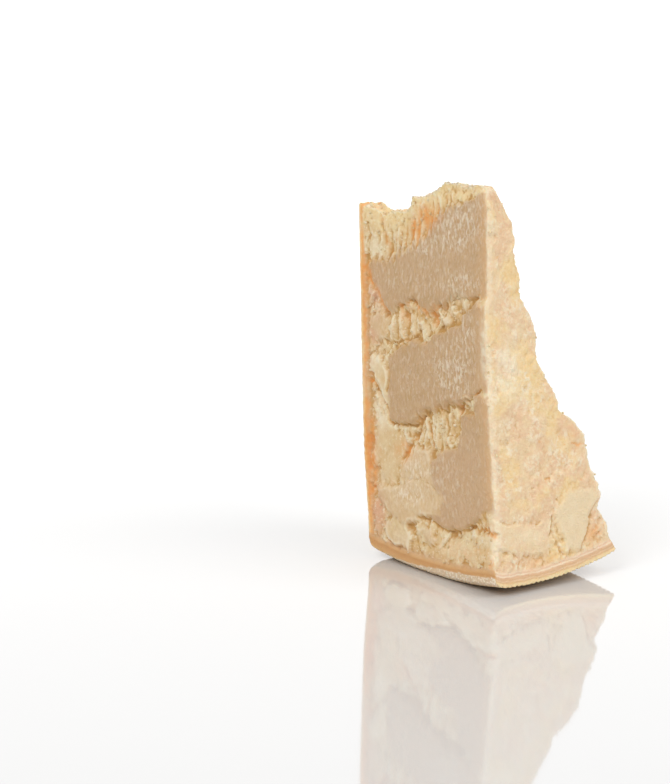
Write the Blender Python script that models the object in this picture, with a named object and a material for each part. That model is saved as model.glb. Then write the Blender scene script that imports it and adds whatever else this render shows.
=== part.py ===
"""A wedge broken from half a wheel of hard cheese, standing on its curved rind and leaning back on it.

The wedge is worked out in the wheel's own coordinates, in millimetres: around the wheel from the left
face to the right face, along the wheel's axis from the mid-wheel cut to the flat side's rind, and inwards
from the outer rind to the broken tip. Each of the six faces has its own relief, measured outwards, and
the solid is the blend between opposite faces. It is then tipped onto its barrel-shaped rind, which is
worn flat where it rests.
"""

import math

import bmesh
import bpy
import numpy as np
from mathutils import Matrix, Vector, noise

NODE_NAME = "cheese_wedge"
MM = 0.001

# Driving dimensions of the wheel and of the wedge cut from it, in millimetres and degrees
WHEEL_RADIUS = 218.0
HALF_WHEEL_HEIGHT = 95.2
RIND_BULGE = 14.2
FLAT_SIDE_SWELL = 2.4
WEDGE_ANGLE = math.radians(20.8)
TIP_RADIUS = 33.6
LEAN_BACK = math.radians(9.8)
LEAN_LEFT = math.radians(4.7)

# The rind is worn flat where the wedge rests. Away from the wedge's edges, rind up to SETTLED_HEIGHT
# above that flat has settled down to it, and the rind returns to its barrel shape at SETTLE_END.
WORN_DEPTH = 0.9
SETTLED_HEIGHT = 1.4
SETTLE_END = 6.0
SETTLE_MARGIN = 0.22

# Thickness of the rind where the faces cut it, and how far the edges are rounded
RIND_THICKNESS = 6.0
CUT_EDGE_RADIUS = 4.0
RIM_RADIUS = 5.0
SIDE_EDGE_RADIUS = 1.5
TIP_EDGE_RADIUS = 2.0

# Cells of the mesh around the wheel, along its axis and from rind to tip
CELLS_AROUND = 14
CELLS_AXIAL = 26
CELLS_INWARD = 50

# How wide a step between two levels is drawn, so that a cell or two can carry it
STEP_WIDTH = 4.2

FACE_LENGTH = WHEEL_RADIUS - TIP_RADIUS

# Smooth panels and shelves of the left face. Corners are (along the axis from the front edge, in from
# the rind); level is how far it stands out at the front edge and at the height "at", with its rise for
# each millimetre inwards and for each millimetre towards the flat side.
LEFT_PANELS = (
    {
        "name": "upper panel",
        "corners": ((91, 148), (78, 154), (53, 159), (34, 166), (24, 177), (-6, 181), (-6, 134),
                    (34, 131), (64, 133), (73, 128), (84, 138)),
        "level": 0.5, "at": 165, "rise_inward": -0.015, "rise_axial": -0.018,
    },
    {
        "name": "middle panel",
        "corners": ((75, 106), (51, 113), (29, 120), (-6, 128), (-6, 89), (30, 85), (44, 80), (57, 74),
                    (75, 72), (73, 90)),
        "level": 2.4, "at": 89, "rise_inward": 0.05, "rise_axial": -0.024,
    },
    {
        "name": "lower panel",
        "corners": ((37, 58), (15, 63), (19, 72), (15, 83), (-6, 86), (-6, 36), (14, 31), (29, 23),
                    (41, 27), (41, 33)),
        "level": 0.1, "at": 40, "rise_inward": 0.05, "rise_axial": -0.02,
    },
    {
        "name": "upper shelf",
        "corners": ((67, 52), (62, 57), (45, 60), (36, 54), (37, 44), (53, 44), (67, 43)),
        "level": -1.6, "at": 50, "rise_inward": -0.03, "rise_axial": 0.0,
    },
    {
        "name": "lower shelf",
        "corners": ((91, 34), (85, 38), (69, 42), (48, 44), (41, 40), (41, 31), (50, 27), (66, 29),
                    (89, 24)),
        "level": -0.6, "at": 34, "rise_inward": -0.05, "rise_axial": -0.01,
    },
    {
        "name": "foot block",
        "corners": ((82, 13), (81, 16), (72, 20), (60, 25), (59, 19), (65, 8), (77, 8)),
        "level": 0.4, "at": 16, "rise_inward": -0.05, "rise_axial": 0.0,
    },
)

# Single lumps and hollows of the left face: axial and inward place and half widths, then how far out
LEFT_SPOTS = (
    (15, 133, 4.5, 4.0, 3.6),
    (70, 118, 4.0, 5.0, 3.0),
    (51, 121, 8.0, 6.5, 2.4),
    (14, 83, 5.0, 5.0, 2.6),
    (84, 93, 8.0, 8.0, 1.6),
    (85, 163, 8.0, 14.0, 1.2),
    (58, 65, 5.0, 9.0, -4.5),
    (36, 76, 22.0, 8.0, -2.2),
    (84, 80, 7.0, 9.0, -1.6),
    (78, 58, 12.0, 14.0, -1.2),
    (30, 20, 7.0, 3.0, -2.2),
    (6, 25, 12.0, 3.0, -2.6),
    (62, 175, 12.0, 9.0, -2.0),
)

# Flakes of the front face: corners are (across from the front edge, in from the rind), then the level
FRONT_FLAKES = (
    {"name": "right flake", "corners": ((38, 29), (44, 20), (47, 8), (57, 12), (68, 29), (60, 34), (48, 36)),
     "level": 1.5},
    {"name": "left flake", "corners": ((-6, 31), (6, 29), (20, 27), (36, 28), (38, 17), (26, 13), (6, 17),
                                       (-6, 18)),
     "level": 1.1},
)

# Broken edge where the front face meets the right face: lobes from the rind to the tip, each with its
# inward start and how far the edge stands outside the straight cut at its start and at its end
EDGE_LOBES = (
    (-2, 1.0, 0.4),
    (12, 0.4, -3.0),
    (24, 1.4, 0.6),
    (44, 0.6, 2.4),
    (59, 2.4, -1.0),
    (71, -7.0, -6.4),
    (80, -6.4, -11.0),
    (102, -11.0, -7.4),
    (120, -7.4, -10.6),
    (134, -9.0, -8.2),
    (156, -4.6, -4.6),
    (174, -5.4, -12.0),
    (186, -12.0, -12.0),
)

# Broken top along the axis: distance from the front edge, then how far it stands past the tip radius
TIP_PROFILE = ((0, 0.6), (9, 2.4), (15, 1.6), (24, 4.0), (32, 4.4), (35, 0.8), (54, -0.6), (57, -6.2),
               (78, -6.2), (91, -1.0), (96, 0.2))

# Depth of the crumbly ground between the panels, and the size of its crags
CRUMB_GROUND = -2.8
CRAG_HEIGHT = 1.6
CRAG_SIZE = 11.0

# Seed of the noise that bends the crags, so that every run gives the same ones
CRAG_SEED = 1795813320

# The hidden right face is broken deeper than the front edge shows: place, half widths and depth
RIGHT_SCOOPS = (
    (50, 118, 34, 54, -6.5),
    (72, 58, 24, 28, -5.0),
    (30, 70, 16, 14, -2.6),
    (64, 168, 26, 18, -3.0),
)
RIGHT_CRAG_HEIGHT = 1.8
RIGHT_LEDGE_SPACING = 27.0
RIGHT_LEDGE_HEIGHT = 1.3

PASTE_COLOUR = (0.86, 0.68, 0.40, 1.0)
PASTE_ROUGHNESS = 0.6


def ease(low, high, value):
    """Smooth rise from 0 at low to 1 at high."""
    portion = np.clip((value - low) / (high - low), 0.0, 1.0)
    return portion * portion * (3.0 - 2.0 * portion)


def inside_distance(corners, across, up):
    """Distance to a closed outline in its own plane, positive inside it."""
    nearest = np.full(across.shape, np.inf)
    inside = np.zeros(across.shape, bool)
    for (start_x, start_y), (end_x, end_y) in zip(corners, corners[1:] + corners[:1]):
        edge_x = end_x - start_x
        edge_y = end_y - start_y
        along = ((across - start_x) * edge_x + (up - start_y) * edge_y) / (edge_x**2 + edge_y**2)
        along = np.clip(along, 0.0, 1.0)
        gap = np.hypot(across - start_x - along * edge_x, up - start_y - along * edge_y)
        nearest = np.minimum(nearest, gap)
        if edge_y:
            crosses = (start_y > up) != (end_y > up)
            inside ^= crosses & (across < start_x + (up - start_y) * edge_x / edge_y)
    return np.where(inside, nearest, -nearest)


def bump(across, up, spot):
    """A rounded lump or hollow: its middle, its half widths and its height."""
    middle_across, middle_up, half_across, half_up, height = spot
    reach = ((across - middle_across) / half_across) ** 2 + ((up - middle_up) / half_up) ** 2
    return height * np.exp(-reach)


def rounding(distance, radius):
    """How far a face is drawn in at a distance from an edge that is rounded to a radius."""
    corner_draw = radius * (1.0 - math.sqrt(0.5))
    return corner_draw * np.clip(1.0 - distance / radius, 0.0, 1.0) ** 2


def crags(across, up, size, layer):
    """Lumpy broken relief from about -1 in its cracks to 1 on its lumps, each about size across."""
    def height(x, y):
        place = Vector((x / size, y / size, layer))
        nearest = noise.voronoi(place + 0.35 * noise.noise_vector(place))[0][0]
        return 1.0 - 2.0 * min(1.0, 2.2 * nearest**2)
    return np.vectorize(height)(across, up)


def waves(across, up, size, layer):
    """Soft uneven swelling from about -1 to 1."""
    def height(x, y):
        return noise.fractal(Vector((x / size, y / size, layer)), 1.0, 2.0, 3)
    return np.vectorize(height)(across, up)


def blend(ground, top, amount):
    """Mix of two reliefs by an amount from 0 to 1."""
    return ground * (1.0 - amount) + top * amount


def slimming(inward):
    """Share of its relief that a face keeps: less where the wedge is slim near its tip."""
    return 1.0 - 0.5 * ease(FACE_LENGTH - 70.0, FACE_LENGTH, inward)


def left_relief(axial, inward):
    """The left face: crumbly broken ground with smooth panels and shelves standing out of it."""
    relief = CRUMB_GROUND + CRAG_HEIGHT * crags(axial, inward, CRAG_SIZE, 3.0)
    wander_axial = axial + 1.6 * waves(axial, inward, 9.0, 11.0)
    wander_inward = inward + 1.6 * waves(axial, inward, 9.0, 17.0)
    for panel in LEFT_PANELS:
        level = (panel["level"] + panel["rise_inward"] * (inward - panel["at"])
                 + panel["rise_axial"] * axial + 0.25 * waves(axial, inward, 24.0, 23.0))
        amount = ease(-STEP_WIDTH / 2, STEP_WIDTH / 2,
                      inside_distance(panel["corners"], wander_axial, wander_inward))
        relief = blend(relief, level, amount)
    for spot in LEFT_SPOTS:
        relief = relief + bump(axial, inward, spot)
    relief = blend(-0.3, relief, ease(RIND_THICKNESS - 2.0, RIND_THICKNESS + 1.5, inward))
    flat_side_gap = HALF_WHEEL_HEIGHT - axial
    relief = blend(0.6, relief, ease(1.0, RIND_THICKNESS + 3.0, flat_side_gap))
    relief = relief * slimming(inward)
    return (relief - rounding(axial, CUT_EDGE_RADIUS) * ease(2.0, 20.0, inward)
            - rounding(flat_side_gap, SIDE_EDGE_RADIUS) - rounding(FACE_LENGTH - inward, TIP_EDGE_RADIUS))


def edge_lobes(inward):
    """The broken edge between the front face and the right face."""
    starts = [lobe[0] for lobe in EDGE_LOBES]
    ends = starts[1:] + [starts[-1] + 10.0]
    offset = np.zeros(inward.shape)
    for (start, low, high), end in zip(EDGE_LOBES, ends):
        portion = np.clip((inward - start) / (end - start), 0.0, 1.0)
        offset = np.where(inward >= start, low + (high - low) * portion, offset)
    return offset


def right_relief(axial, inward):
    """The right face: broken off in ledges that start at the lobes of the front edge."""
    slant = inward + 0.18 * axial + 3.0 * waves(axial, inward, 30.0, 31.0) * ease(0.0, 20.0, axial)
    relief = edge_lobes(slant)
    settle = ease(10.0, 70.0, axial)
    relief = blend(relief, 0.55 * relief, settle)
    ledge = np.sin(slant * 2.0 * math.pi / RIGHT_LEDGE_SPACING)
    relief = relief + RIGHT_LEDGE_HEIGHT * ledge * settle
    for scoop in RIGHT_SCOOPS:
        relief = relief + bump(axial, inward, scoop)
    rough = RIGHT_CRAG_HEIGHT * (crags(axial, inward, CRAG_SIZE, 41.0) - 0.3)
    relief = relief + rough * ease(3.0, 16.0, axial)
    relief = blend(-0.6, relief, ease(RIND_THICKNESS - 3.0, RIND_THICKNESS + 8.0, inward))
    flat_side_gap = HALF_WHEEL_HEIGHT - axial
    relief = blend(-0.6, relief, ease(1.0, RIND_THICKNESS + 6.0, flat_side_gap))
    relief = relief * slimming(inward)
    return relief - rounding(axial, SIDE_EDGE_RADIUS) - rounding(flat_side_gap, SIDE_EDGE_RADIUS)


def front_relief(across, inward):
    """The mid-wheel cut: nearly flat and faintly uneven, with raised flakes above the rind."""
    relief = 0.45 * waves(across, inward, 16.0, 51.0)
    low_ground = -1.3 + 0.7 * crags(across, inward, CRAG_SIZE, 57.0)
    relief = blend(low_ground, relief, ease(18.0, 36.0, inward))
    for flake in FRONT_FLAKES:
        amount = ease(-STEP_WIDTH / 2, STEP_WIDTH / 2,
                      inside_distance(flake["corners"], across, inward))
        relief = blend(relief, flake["level"], amount)
    relief = blend(-0.3, relief, ease(RIND_THICKNESS - 2.0, RIND_THICKNESS + 1.0, inward))
    width = (WHEEL_RADIUS - inward) * WEDGE_ANGLE
    return (relief - rounding(across, CUT_EDGE_RADIUS) * ease(2.0, 20.0, inward)
            - rounding(width - across, SIDE_EDGE_RADIUS) - rounding(FACE_LENGTH - inward, TIP_EDGE_RADIUS))


def flat_side_relief(across, inward):
    """The rind of the wheel's flat side: smooth, barely swollen, rounded into the outer rind."""
    relief = FLAT_SIDE_SWELL * ease(5.0, 60.0, inward) + 0.3 * waves(across, inward, 30.0, 61.0)
    return relief - rounding(inward, RIM_RADIUS)


def outer_rind_relief(across, axial):
    """The outer rind: barrel-shaped, faintly uneven, rounded into the flat side."""
    barrel = -RIND_BULGE * (axial / HALF_WHEEL_HEIGHT) ** 2
    return barrel + 0.2 * waves(across, axial, 22.0, 71.0) - rounding(HALF_WHEEL_HEIGHT - axial, RIM_RADIUS)


def tip_relief(across, axial):
    """The broken tip: the uneven top edge, with crags."""
    places = [point[0] for point in TIP_PROFILE]
    heights = [point[1] for point in TIP_PROFILE]
    relief = np.interp(axial, places, heights)
    relief = relief + 0.8 * crags(across, axial, CRAG_SIZE, 81.0) * ease(0.0, 8.0, axial)
    return relief - rounding(axial, TIP_EDGE_RADIUS)


def wedge_points(around, axial, inward):
    """Positions in the wheel's frame of mesh points given by their three shares from 0 to 1."""
    along_axis = axial * HALF_WHEEL_HEIGHT
    depth = inward * FACE_LENGTH
    rind_chord = WHEEL_RADIUS * WEDGE_ANGLE
    across = around * rind_chord * (1.0 - inward * FACE_LENGTH / WHEEL_RADIUS)

    rind_radius = WHEEL_RADIUS + outer_rind_relief(around * rind_chord, along_axis)
    tip_radius = TIP_RADIUS - tip_relief(around * TIP_RADIUS * WEDGE_ANGLE, along_axis)
    radius = rind_radius + (tip_radius - rind_radius) * inward

    left_angle = -WEDGE_ANGLE / 2 - left_relief(along_axis, depth) / radius
    right_angle = WEDGE_ANGLE / 2 + right_relief(along_axis, depth) / radius
    angle = left_angle + (right_angle - left_angle) * around

    front = -front_relief(across, depth)
    back = HALF_WHEEL_HEIGHT + flat_side_relief(across, depth)
    return radius * np.sin(angle), front + (back - front) * axial, -radius * np.cos(angle)


def gridded_cube():
    """A unit cube whose edges are cut into the mesh's cells, with one corner at the origin."""
    cube = bmesh.new()
    bmesh.ops.create_cube(cube, size=1.0, matrix=Matrix.Translation((0.5, 0.5, 0.5)))
    for direction, cells in enumerate((CELLS_AROUND, CELLS_AXIAL, CELLS_INWARD)):
        edges = [edge for edge in cube.edges
                 if abs(edge.verts[0].co[direction] - edge.verts[1].co[direction]) > 0.5]
        bmesh.ops.subdivide_edges(cube, edges=edges, cuts=cells - 1, use_grid_fill=True)
    return cube


def settled_heights(heights, around, axial, inward):
    """Heights above the resting plane once the outer rind has worn and settled where the wedge rests."""
    margin = (ease(0.0, SETTLE_MARGIN, around) * ease(0.0, SETTLE_MARGIN, 1.0 - around)
              * ease(0.0, SETTLE_MARGIN, axial) * ease(0.0, SETTLE_MARGIN, 1.0 - axial))
    rising = (heights - SETTLED_HEIGHT) * SETTLE_END / (SETTLE_END - SETTLED_HEIGHT)
    settled = blend(heights, np.minimum(heights, rising), margin)
    return np.maximum(np.where(inward > 0.0, heights, settled), 0.0)


def shape_wedge(cube):
    """Move the cube's points onto the wedge, tip it onto its rind and settle it where it rests."""
    shares = np.array([vertex.co[:] for vertex in cube.verts])
    around, axial, inward = shares.T
    tipping = Matrix.Rotation(-LEAN_BACK, 3, "X") @ Matrix.Rotation(-LEAN_LEFT, 3, "Y")
    points = np.stack(wedge_points(around, axial, inward), axis=1) @ np.array(tipping).T
    heights = points[:, 2] - points[:, 2].min() - WORN_DEPTH
    points[:, 2] = settled_heights(heights, around, axial, inward)
    middle = (points.min(axis=0) + points.max(axis=0)) / 2
    points -= (middle[0], middle[1], 0.0)
    for vertex, point in zip(cube.verts, points):
        vertex.co = point * MM
    bmesh.ops.recalc_face_normals(cube, faces=cube.faces)


def paste_material():
    """Pale straw-coloured cheese."""
    material = bpy.data.materials.new("cheese_paste")
    material.use_nodes = True
    shader = material.node_tree.nodes["Principled BSDF"]
    shader.inputs["Base Color"].default_value = PASTE_COLOUR
    shader.inputs["Roughness"].default_value = PASTE_ROUGHNESS
    shader.inputs["Metallic"].default_value = 0.0
    material.diffuse_color = PASTE_COLOUR
    return material


def make_wedge():
    """The whole wedge as one closed solid."""
    cube = gridded_cube()
    shape_wedge(cube)
    bmesh.ops.triangulate(cube, faces=cube.faces)
    mesh = bpy.data.meshes.new(NODE_NAME)
    cube.to_mesh(mesh)
    cube.free()
    mesh.materials.append(paste_material())
    wedge = bpy.data.objects.new(NODE_NAME, mesh)
    bpy.context.scene.collection.objects.link(wedge)
    return wedge


for leftover in list(bpy.context.scene.objects):
    bpy.data.objects.remove(leftover, do_unlink=True)

noise.seed_set(CRAG_SEED)
make_wedge()
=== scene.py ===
"""Looks of a wedge of aged hard cheese: smooth knife panels, crumbly breaks and a natural rind.

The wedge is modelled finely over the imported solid, from the same named sizes. It is worked out in the
wheel's own coordinates in millimetres: around the wheel from the left face to the right face, along the
wheel's axis from the mid-wheel cut to the flat side's rind, and inwards from the outer rind to the
broken tip. Each face has a terrain, which gives its relief and how its surface was made. Loose crumbs
sit on the broken ground, and a plain studio stands around the wedge.
"""

from __future__ import annotations

import logging
import math
from collections.abc import Callable
from dataclasses import dataclass
from enum import Enum

import bmesh
import bpy
import numpy as np
from mathutils import Matrix, Vector, noise

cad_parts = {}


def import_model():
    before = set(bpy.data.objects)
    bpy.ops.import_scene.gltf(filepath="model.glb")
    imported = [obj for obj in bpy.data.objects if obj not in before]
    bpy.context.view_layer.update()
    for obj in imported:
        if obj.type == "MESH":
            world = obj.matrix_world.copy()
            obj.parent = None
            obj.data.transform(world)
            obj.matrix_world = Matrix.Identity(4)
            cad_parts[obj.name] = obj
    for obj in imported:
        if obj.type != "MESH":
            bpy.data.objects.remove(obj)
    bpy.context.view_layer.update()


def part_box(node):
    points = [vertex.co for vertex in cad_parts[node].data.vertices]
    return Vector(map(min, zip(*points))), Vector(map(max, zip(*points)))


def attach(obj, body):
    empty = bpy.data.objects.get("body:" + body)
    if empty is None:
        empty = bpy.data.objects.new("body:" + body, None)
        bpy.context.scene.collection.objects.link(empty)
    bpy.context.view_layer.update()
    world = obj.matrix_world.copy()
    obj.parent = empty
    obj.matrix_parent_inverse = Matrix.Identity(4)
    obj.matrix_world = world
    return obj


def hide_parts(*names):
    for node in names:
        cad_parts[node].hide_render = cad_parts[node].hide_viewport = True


LOG = logging.getLogger("cheese")
NODE_NAME = "cheese_wedge"
BODY_NAME = "root"
MM = 0.001
BREAK_SEED = 3

Outline = tuple[tuple[float, float], ...]


class Cut(Enum):
    """How a panel's surface was made, with its shares of knife, flake and crumb."""

    KNIFE = (1.0, 0.0, 0.0)
    SMEAR = (0.35, 0.65, 0.0)
    FLAKE = (0.0, 1.0, 0.05)
    FACET = (0.0, 0.35, 0.2)


@dataclass(frozen=True)
class Wheel:
    """Driving sizes of the wheel and of the wedge broken from it, in millimetres and radians."""

    radius: float = 218.0
    half_height: float = 95.2
    rind_bulge: float = 14.2
    flat_side_swell: float = 2.4
    wedge_angle: float = math.radians(20.8)
    tip_radius: float = 33.6
    lean_back: float = math.radians(9.8)
    lean_left: float = math.radians(4.7)
    rind_thickness: float = 6.0
    cut_edge_radius: float = 3.0
    rim_radius: float = 5.0
    side_edge_radius: float = 1.5
    tip_edge_radius: float = 2.0

    @property
    def face_length(self) -> float:
        """Distance from the rind to the broken tip along the wheel's radius."""
        return self.radius - self.tip_radius

    @property
    def rind_chord(self) -> float:
        """Width of the wedge around the wheel at the rind."""
        return self.radius * self.wedge_angle

    def tipping(self) -> np.ndarray:
        """Rotation from the wheel's frame to the wedge standing on its rind."""
        turn = Matrix.Rotation(-self.lean_back, 3, "X") @ Matrix.Rotation(-self.lean_left, 3, "Y")
        return np.array(turn)


@dataclass(frozen=True)
class Panel:
    """A smooth patch of a face that stands at its own level.

    Corners are (along the axis, in from the rind). Level is how far the patch stands out at the front
    edge and at the height "at", with its rise for each millimetre inwards and along the axis.
    """

    corners: Outline
    cut: Cut
    level: float
    at: float = 0.0
    rise_inward: float = 0.0
    rise_axial: float = 0.0

    def height(self, axial: np.ndarray, inward: np.ndarray) -> np.ndarray:
        """Level of the patch at places of the face."""
        return self.level + self.rise_inward * (inward - self.at) + self.rise_axial * axial


@dataclass(frozen=True)
class Spot:
    """A rounded lump or hollow: its middle, its half widths and its height."""

    across: float
    up: float
    half_across: float
    half_up: float
    height: float

    def relief(self, across: np.ndarray, up: np.ndarray) -> np.ndarray:
        """Height of the spot at places of the face."""
        reach = ((across - self.across) / self.half_across) ** 2 + ((up - self.up) / self.half_up) ** 2
        return self.height * np.exp(-reach)


def spots(*rows: tuple[float, float, float, float, float]) -> tuple[Spot, ...]:
    """Spots from their rows of numbers."""
    return tuple(Spot(*row) for row in rows)


def heaped(heap: tuple[Spot, ...], across: np.ndarray, up: np.ndarray) -> np.ndarray:
    """Height of all the spots together at places of the face."""
    return sum(spot.relief(across, up) for spot in heap)


@dataclass(frozen=True)
class Groove:
    """A crack that follows a short path: its points, half width and depth, and how orange it is painted
    as shade in the crack.
    """

    path: Outline
    half_width: float
    depth: float
    orange_shade: float = 0.0

    def nearness(self, across: np.ndarray, up: np.ndarray) -> np.ndarray:
        """1 in the crack, falling to 0 away from it."""
        return path_nearness(self.path, self.half_width, across, up)


@dataclass(frozen=True)
class RidgeRow:
    """A row of torn upright ridges along a path.

    Reach is how far the row goes to both sides of its path. Teeth is how far the panels' edges follow the
    ridges, and the orange shade is how orange the gaps between them are painted, as shade.
    """

    path: Outline
    reach: float
    spacing: float
    height: float
    teeth: float = 0.0
    orange_shade: float = 0.0

    def nearness(self, axial: np.ndarray, inward: np.ndarray) -> np.ndarray:
        """1 on the row's path, falling to 0 away from it."""
        return path_nearness(self.path, self.reach, axial, inward)

    def wave(self, axial: np.ndarray, inward: np.ndarray) -> np.ndarray:
        """1 on the ridges and -1 in the gaps between them."""
        sway = axial + 0.12 * inward + 1.7 * swell(axial, inward * 0.4, 8.0, 29.0)
        uneven = 0.7 + 0.6 * swell(axial, inward * 0.4, 5.0, 30.0)
        return uneven * (1.0 - 2.0 * np.abs(np.sin(sway * math.pi / self.spacing)) ** 1.3)


@dataclass
class Terrain:
    """Relief of a face and what its surface is like, each an array over the face's places.

    Relief is measured outwards in millimetres. Knife, flake, crumb, fleck and blush are shares from 0 to
    1. Warm is how orange the paste is, or how pale where it is negative; in cracks, ridge gaps and some
    hollows its orange is painted shade.
    """

    relief: np.ndarray
    knife: np.ndarray
    flake: np.ndarray
    crumb: np.ndarray
    fleck: np.ndarray
    warm: np.ndarray
    blush: np.ndarray


def along(profile: Outline, place: np.ndarray) -> np.ndarray:
    """Height of a profile, given by places and their heights, at other places."""
    return np.interp(place, *zip(*profile))


def ease(low: float, high: float, value: np.ndarray) -> np.ndarray:
    """Smooth rise from 0 at low to 1 at high."""
    portion = np.clip((value - low) / (high - low), 0.0, 1.0)
    return portion * portion * (3.0 - 2.0 * portion)


def blend(ground: np.ndarray | float, top: np.ndarray | float, amount: np.ndarray) -> np.ndarray:
    """Mix of two values by an amount from 0 to 1."""
    return ground * (1.0 - amount) + top * amount


def segment_distance(start: tuple[float, float], end: tuple[float, float], across: np.ndarray,
                     up: np.ndarray) -> np.ndarray:
    """Distance from places of a face to a straight run between two points."""
    edge_x = end[0] - start[0]
    edge_y = end[1] - start[1]
    along = ((across - start[0]) * edge_x + (up - start[1]) * edge_y) / (edge_x**2 + edge_y**2)
    along = np.clip(along, 0.0, 1.0)
    return np.hypot(across - start[0] - along * edge_x, up - start[1] - along * edge_y)


def path_nearness(path: Outline, reach: float, across: np.ndarray, up: np.ndarray) -> np.ndarray:
    """1 on a path, falling to 0 about a reach away from it."""
    gap = np.full(across.shape, np.inf)
    for start, end in zip(path, path[1:]):
        gap = np.minimum(gap, segment_distance(start, end, across, up))
    return np.exp(-((gap / reach) ** 2))


def inside_distance(corners: Outline, across: np.ndarray, up: np.ndarray) -> np.ndarray:
    """Distance to a closed outline, positive inside it.

    Args:
        corners: The outline's corners in order.
        across: First coordinate of the places asked for.
        up: Second coordinate of the places asked for.

    Returns:
        The distance in millimetres, negative outside the outline.
    """
    nearest = np.full(across.shape, np.inf)
    inside = np.zeros(across.shape, bool)
    for start, end in zip(corners, corners[1:] + corners[:1]):
        nearest = np.minimum(nearest, segment_distance(start, end, across, up))
        if end[1] != start[1]:
            crosses = (start[1] > up) != (end[1] > up)
            slope = (end[0] - start[0]) / (end[1] - start[1])
            inside ^= crosses & (across < start[0] + (up - start[1]) * slope)
    return np.where(inside, nearest, -nearest)


def rounding(distance: np.ndarray, radius: float) -> np.ndarray:
    """How far a face is drawn in at a distance from an edge that is rounded to a radius."""
    corner_draw = radius * (1.0 - math.sqrt(0.5))
    return corner_draw * np.clip(1.0 - distance / radius, 0.0, 1.0) ** 2


def over_face(height: Callable[[Vector], float]) -> Callable[..., np.ndarray]:
    """Make a height at one place of the noise into a relief over a face.

    The relief takes the face's two coordinates, the size that one unit of the noise has there, and the
    layer of the noise to read.
    """
    def relief(across: np.ndarray, up: np.ndarray, size: float, layer: float) -> np.ndarray:
        def at(x: float, y: float) -> float:
            return height(Vector((x / size, y / size, layer)))
        return np.vectorize(at, otypes=[float])(across, up)
    return relief


@over_face
def swell(place: Vector) -> float:
    """Soft uneven swelling from about -1 to 1, in waves about size across."""
    return noise.fractal(place, 1.0, 2.0, 3)


@over_face
def lumps(place: Vector) -> float:
    """Rounded lumps about size across, from -1 in their cracks to 1 on top."""
    nearest = noise.voronoi(place + 0.35 * noise.noise_vector(place))[0][0]
    return 1.0 - 2.0 * min(1.0, 2.2 * nearest**2)


@over_face
def facets(place: Vector) -> float:
    """Flat tilted facets about size across, from about -1 to 1, with sharp steps between them."""
    place += 0.18 * noise.noise_vector(place * 2.5)
    centre = noise.voronoi(place)[1][0]
    tilt = noise.noise_vector(centre * 3.7)
    return 1.2 * tilt.z + 1.6 * (tilt.x * (place.x - centre.x) + tilt.y * (place.y - centre.y))


@over_face
def blocks(place: Vector) -> float:
    """Flat-topped blocks about size across at uneven levels, from -1 in their cracks to 1 on top."""
    distances, centres = noise.voronoi(place + 0.25 * noise.noise_vector(place))
    level = noise.noise(centres[0] * 3.7)
    crack = min(1.0, 3.0 * (distances[1] - distances[0]))
    return (0.2 + 1.4 * level) * crack - 0.6 * (1.0 - crack)


LEFT_PANELS = (
    # Long facet
    Panel(((85, 72), (79, 70), (73, 69), (66, 63), (62, 58), (66, 52), (69.5, 46), (75, 39), (79, 35),
           (84, 42), (86, 56)), Cut.FACET, -2.4, 55, 0.01, 0.006),
    # Upper panel
    Panel(((92, 149), (87, 152.5), (78, 154), (69.5, 155.5), (60, 158), (51, 161), (45, 165), (40, 170),
           (34, 174), (26, 177.5), (15, 179), (6, 181.5), (-6, 184), (-6, 134), (1.4, 134.5), (11, 135),
           (19, 136.5), (25, 136), (31, 130.5), (39, 128.5), (47, 128), (53, 131.5), (57.6, 134),
           (65, 132), (70, 130), (75, 128.6), (81, 136), (86, 141.5), (90, 146)),
          Cut.KNIFE, 0.5, 165, -0.012, -0.016),
    # Middle panel
    Panel(((74, 105), (65, 109.3), (55.4, 112.5), (44.6, 113.2), (36, 116.8), (25.2, 119), (17.6, 121.5),
           (14, 126), (9, 129), (-6, 132), (-6, 90.5), (3.5, 90), (17.6, 86.6), (26.2, 84), (40.3, 82.3),
           (49, 78.5), (52, 74.5), (58, 72.5), (65.2, 72), (75, 72.6), (75.8, 82), (73.5, 92)),
          Cut.KNIFE, 1.8, 89, 0.034, -0.020),
    # Lower panel
    Panel(((-6, 88), (8, 87), (9, 79), (18.7, 78.5), (21, 68), (24, 62.4), (31.7, 60), (38, 58.5),
           (44, 54), (47, 44), (46, 35), (49, 30), (46, 26), (36, 22.7), (26.2, 23.2), (20.8, 26),
           (11, 30), (3.5, 33), (-6, 35)), Cut.KNIFE, 0.1, 40, 0.045, -0.016),
    # Upper shelf
    Panel(((55.5, 59.5), (64, 53), (67.3, 46.5), (68.4, 42), (53.3, 41), (45, 40), (42, 45), (43.5, 54),
           (47, 60.5)), Cut.SMEAR, -0.2, 50, 0.0, -0.004),
    # Lower shelf
    Panel(((68.4, 39), (65, 42), (57.6, 43.5), (50, 43), (42, 42), (36, 37), (39, 31.3), (53.3, 26),
           (60, 23), (68.4, 20), (77, 22.7), (86, 27), (87, 33), (78, 36)),
          Cut.SMEAR, 0.0, 34, -0.03, -0.004),
    # Foot block
    Panel(((82, 14), (80.3, 18.4), (75, 21.6), (68.4, 20.2), (62, 17.3), (61, 12), (63, 8), (70.6, 7),
           (79.3, 9)), Cut.FLAKE, 0.3, 16, -0.05, 0.0),
    # Side shelf
    Panel(((90, 123), (81.4, 125.4), (74, 125), (75, 120), (79.3, 114.7), (84.7, 112.5), (92, 115)),
          Cut.SMEAR, -1.0, 120, 0.02, 0.0),
    # Slant flake
    Panel(((87, 104), (80, 101), (75.5, 98), (74.5, 82), (76.5, 79), (84, 91), (89, 99)),
          Cut.FACET, 0.1, 90, 0.03, 0.0),
    # Foot facet
    Panel(((53.3, 20), (48, 20.6), (44, 17), (43.5, 14.5), (47, 14), (52, 16.5)),
          Cut.SMEAR, -0.9, 17, 0.0, 0.0),
)

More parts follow.
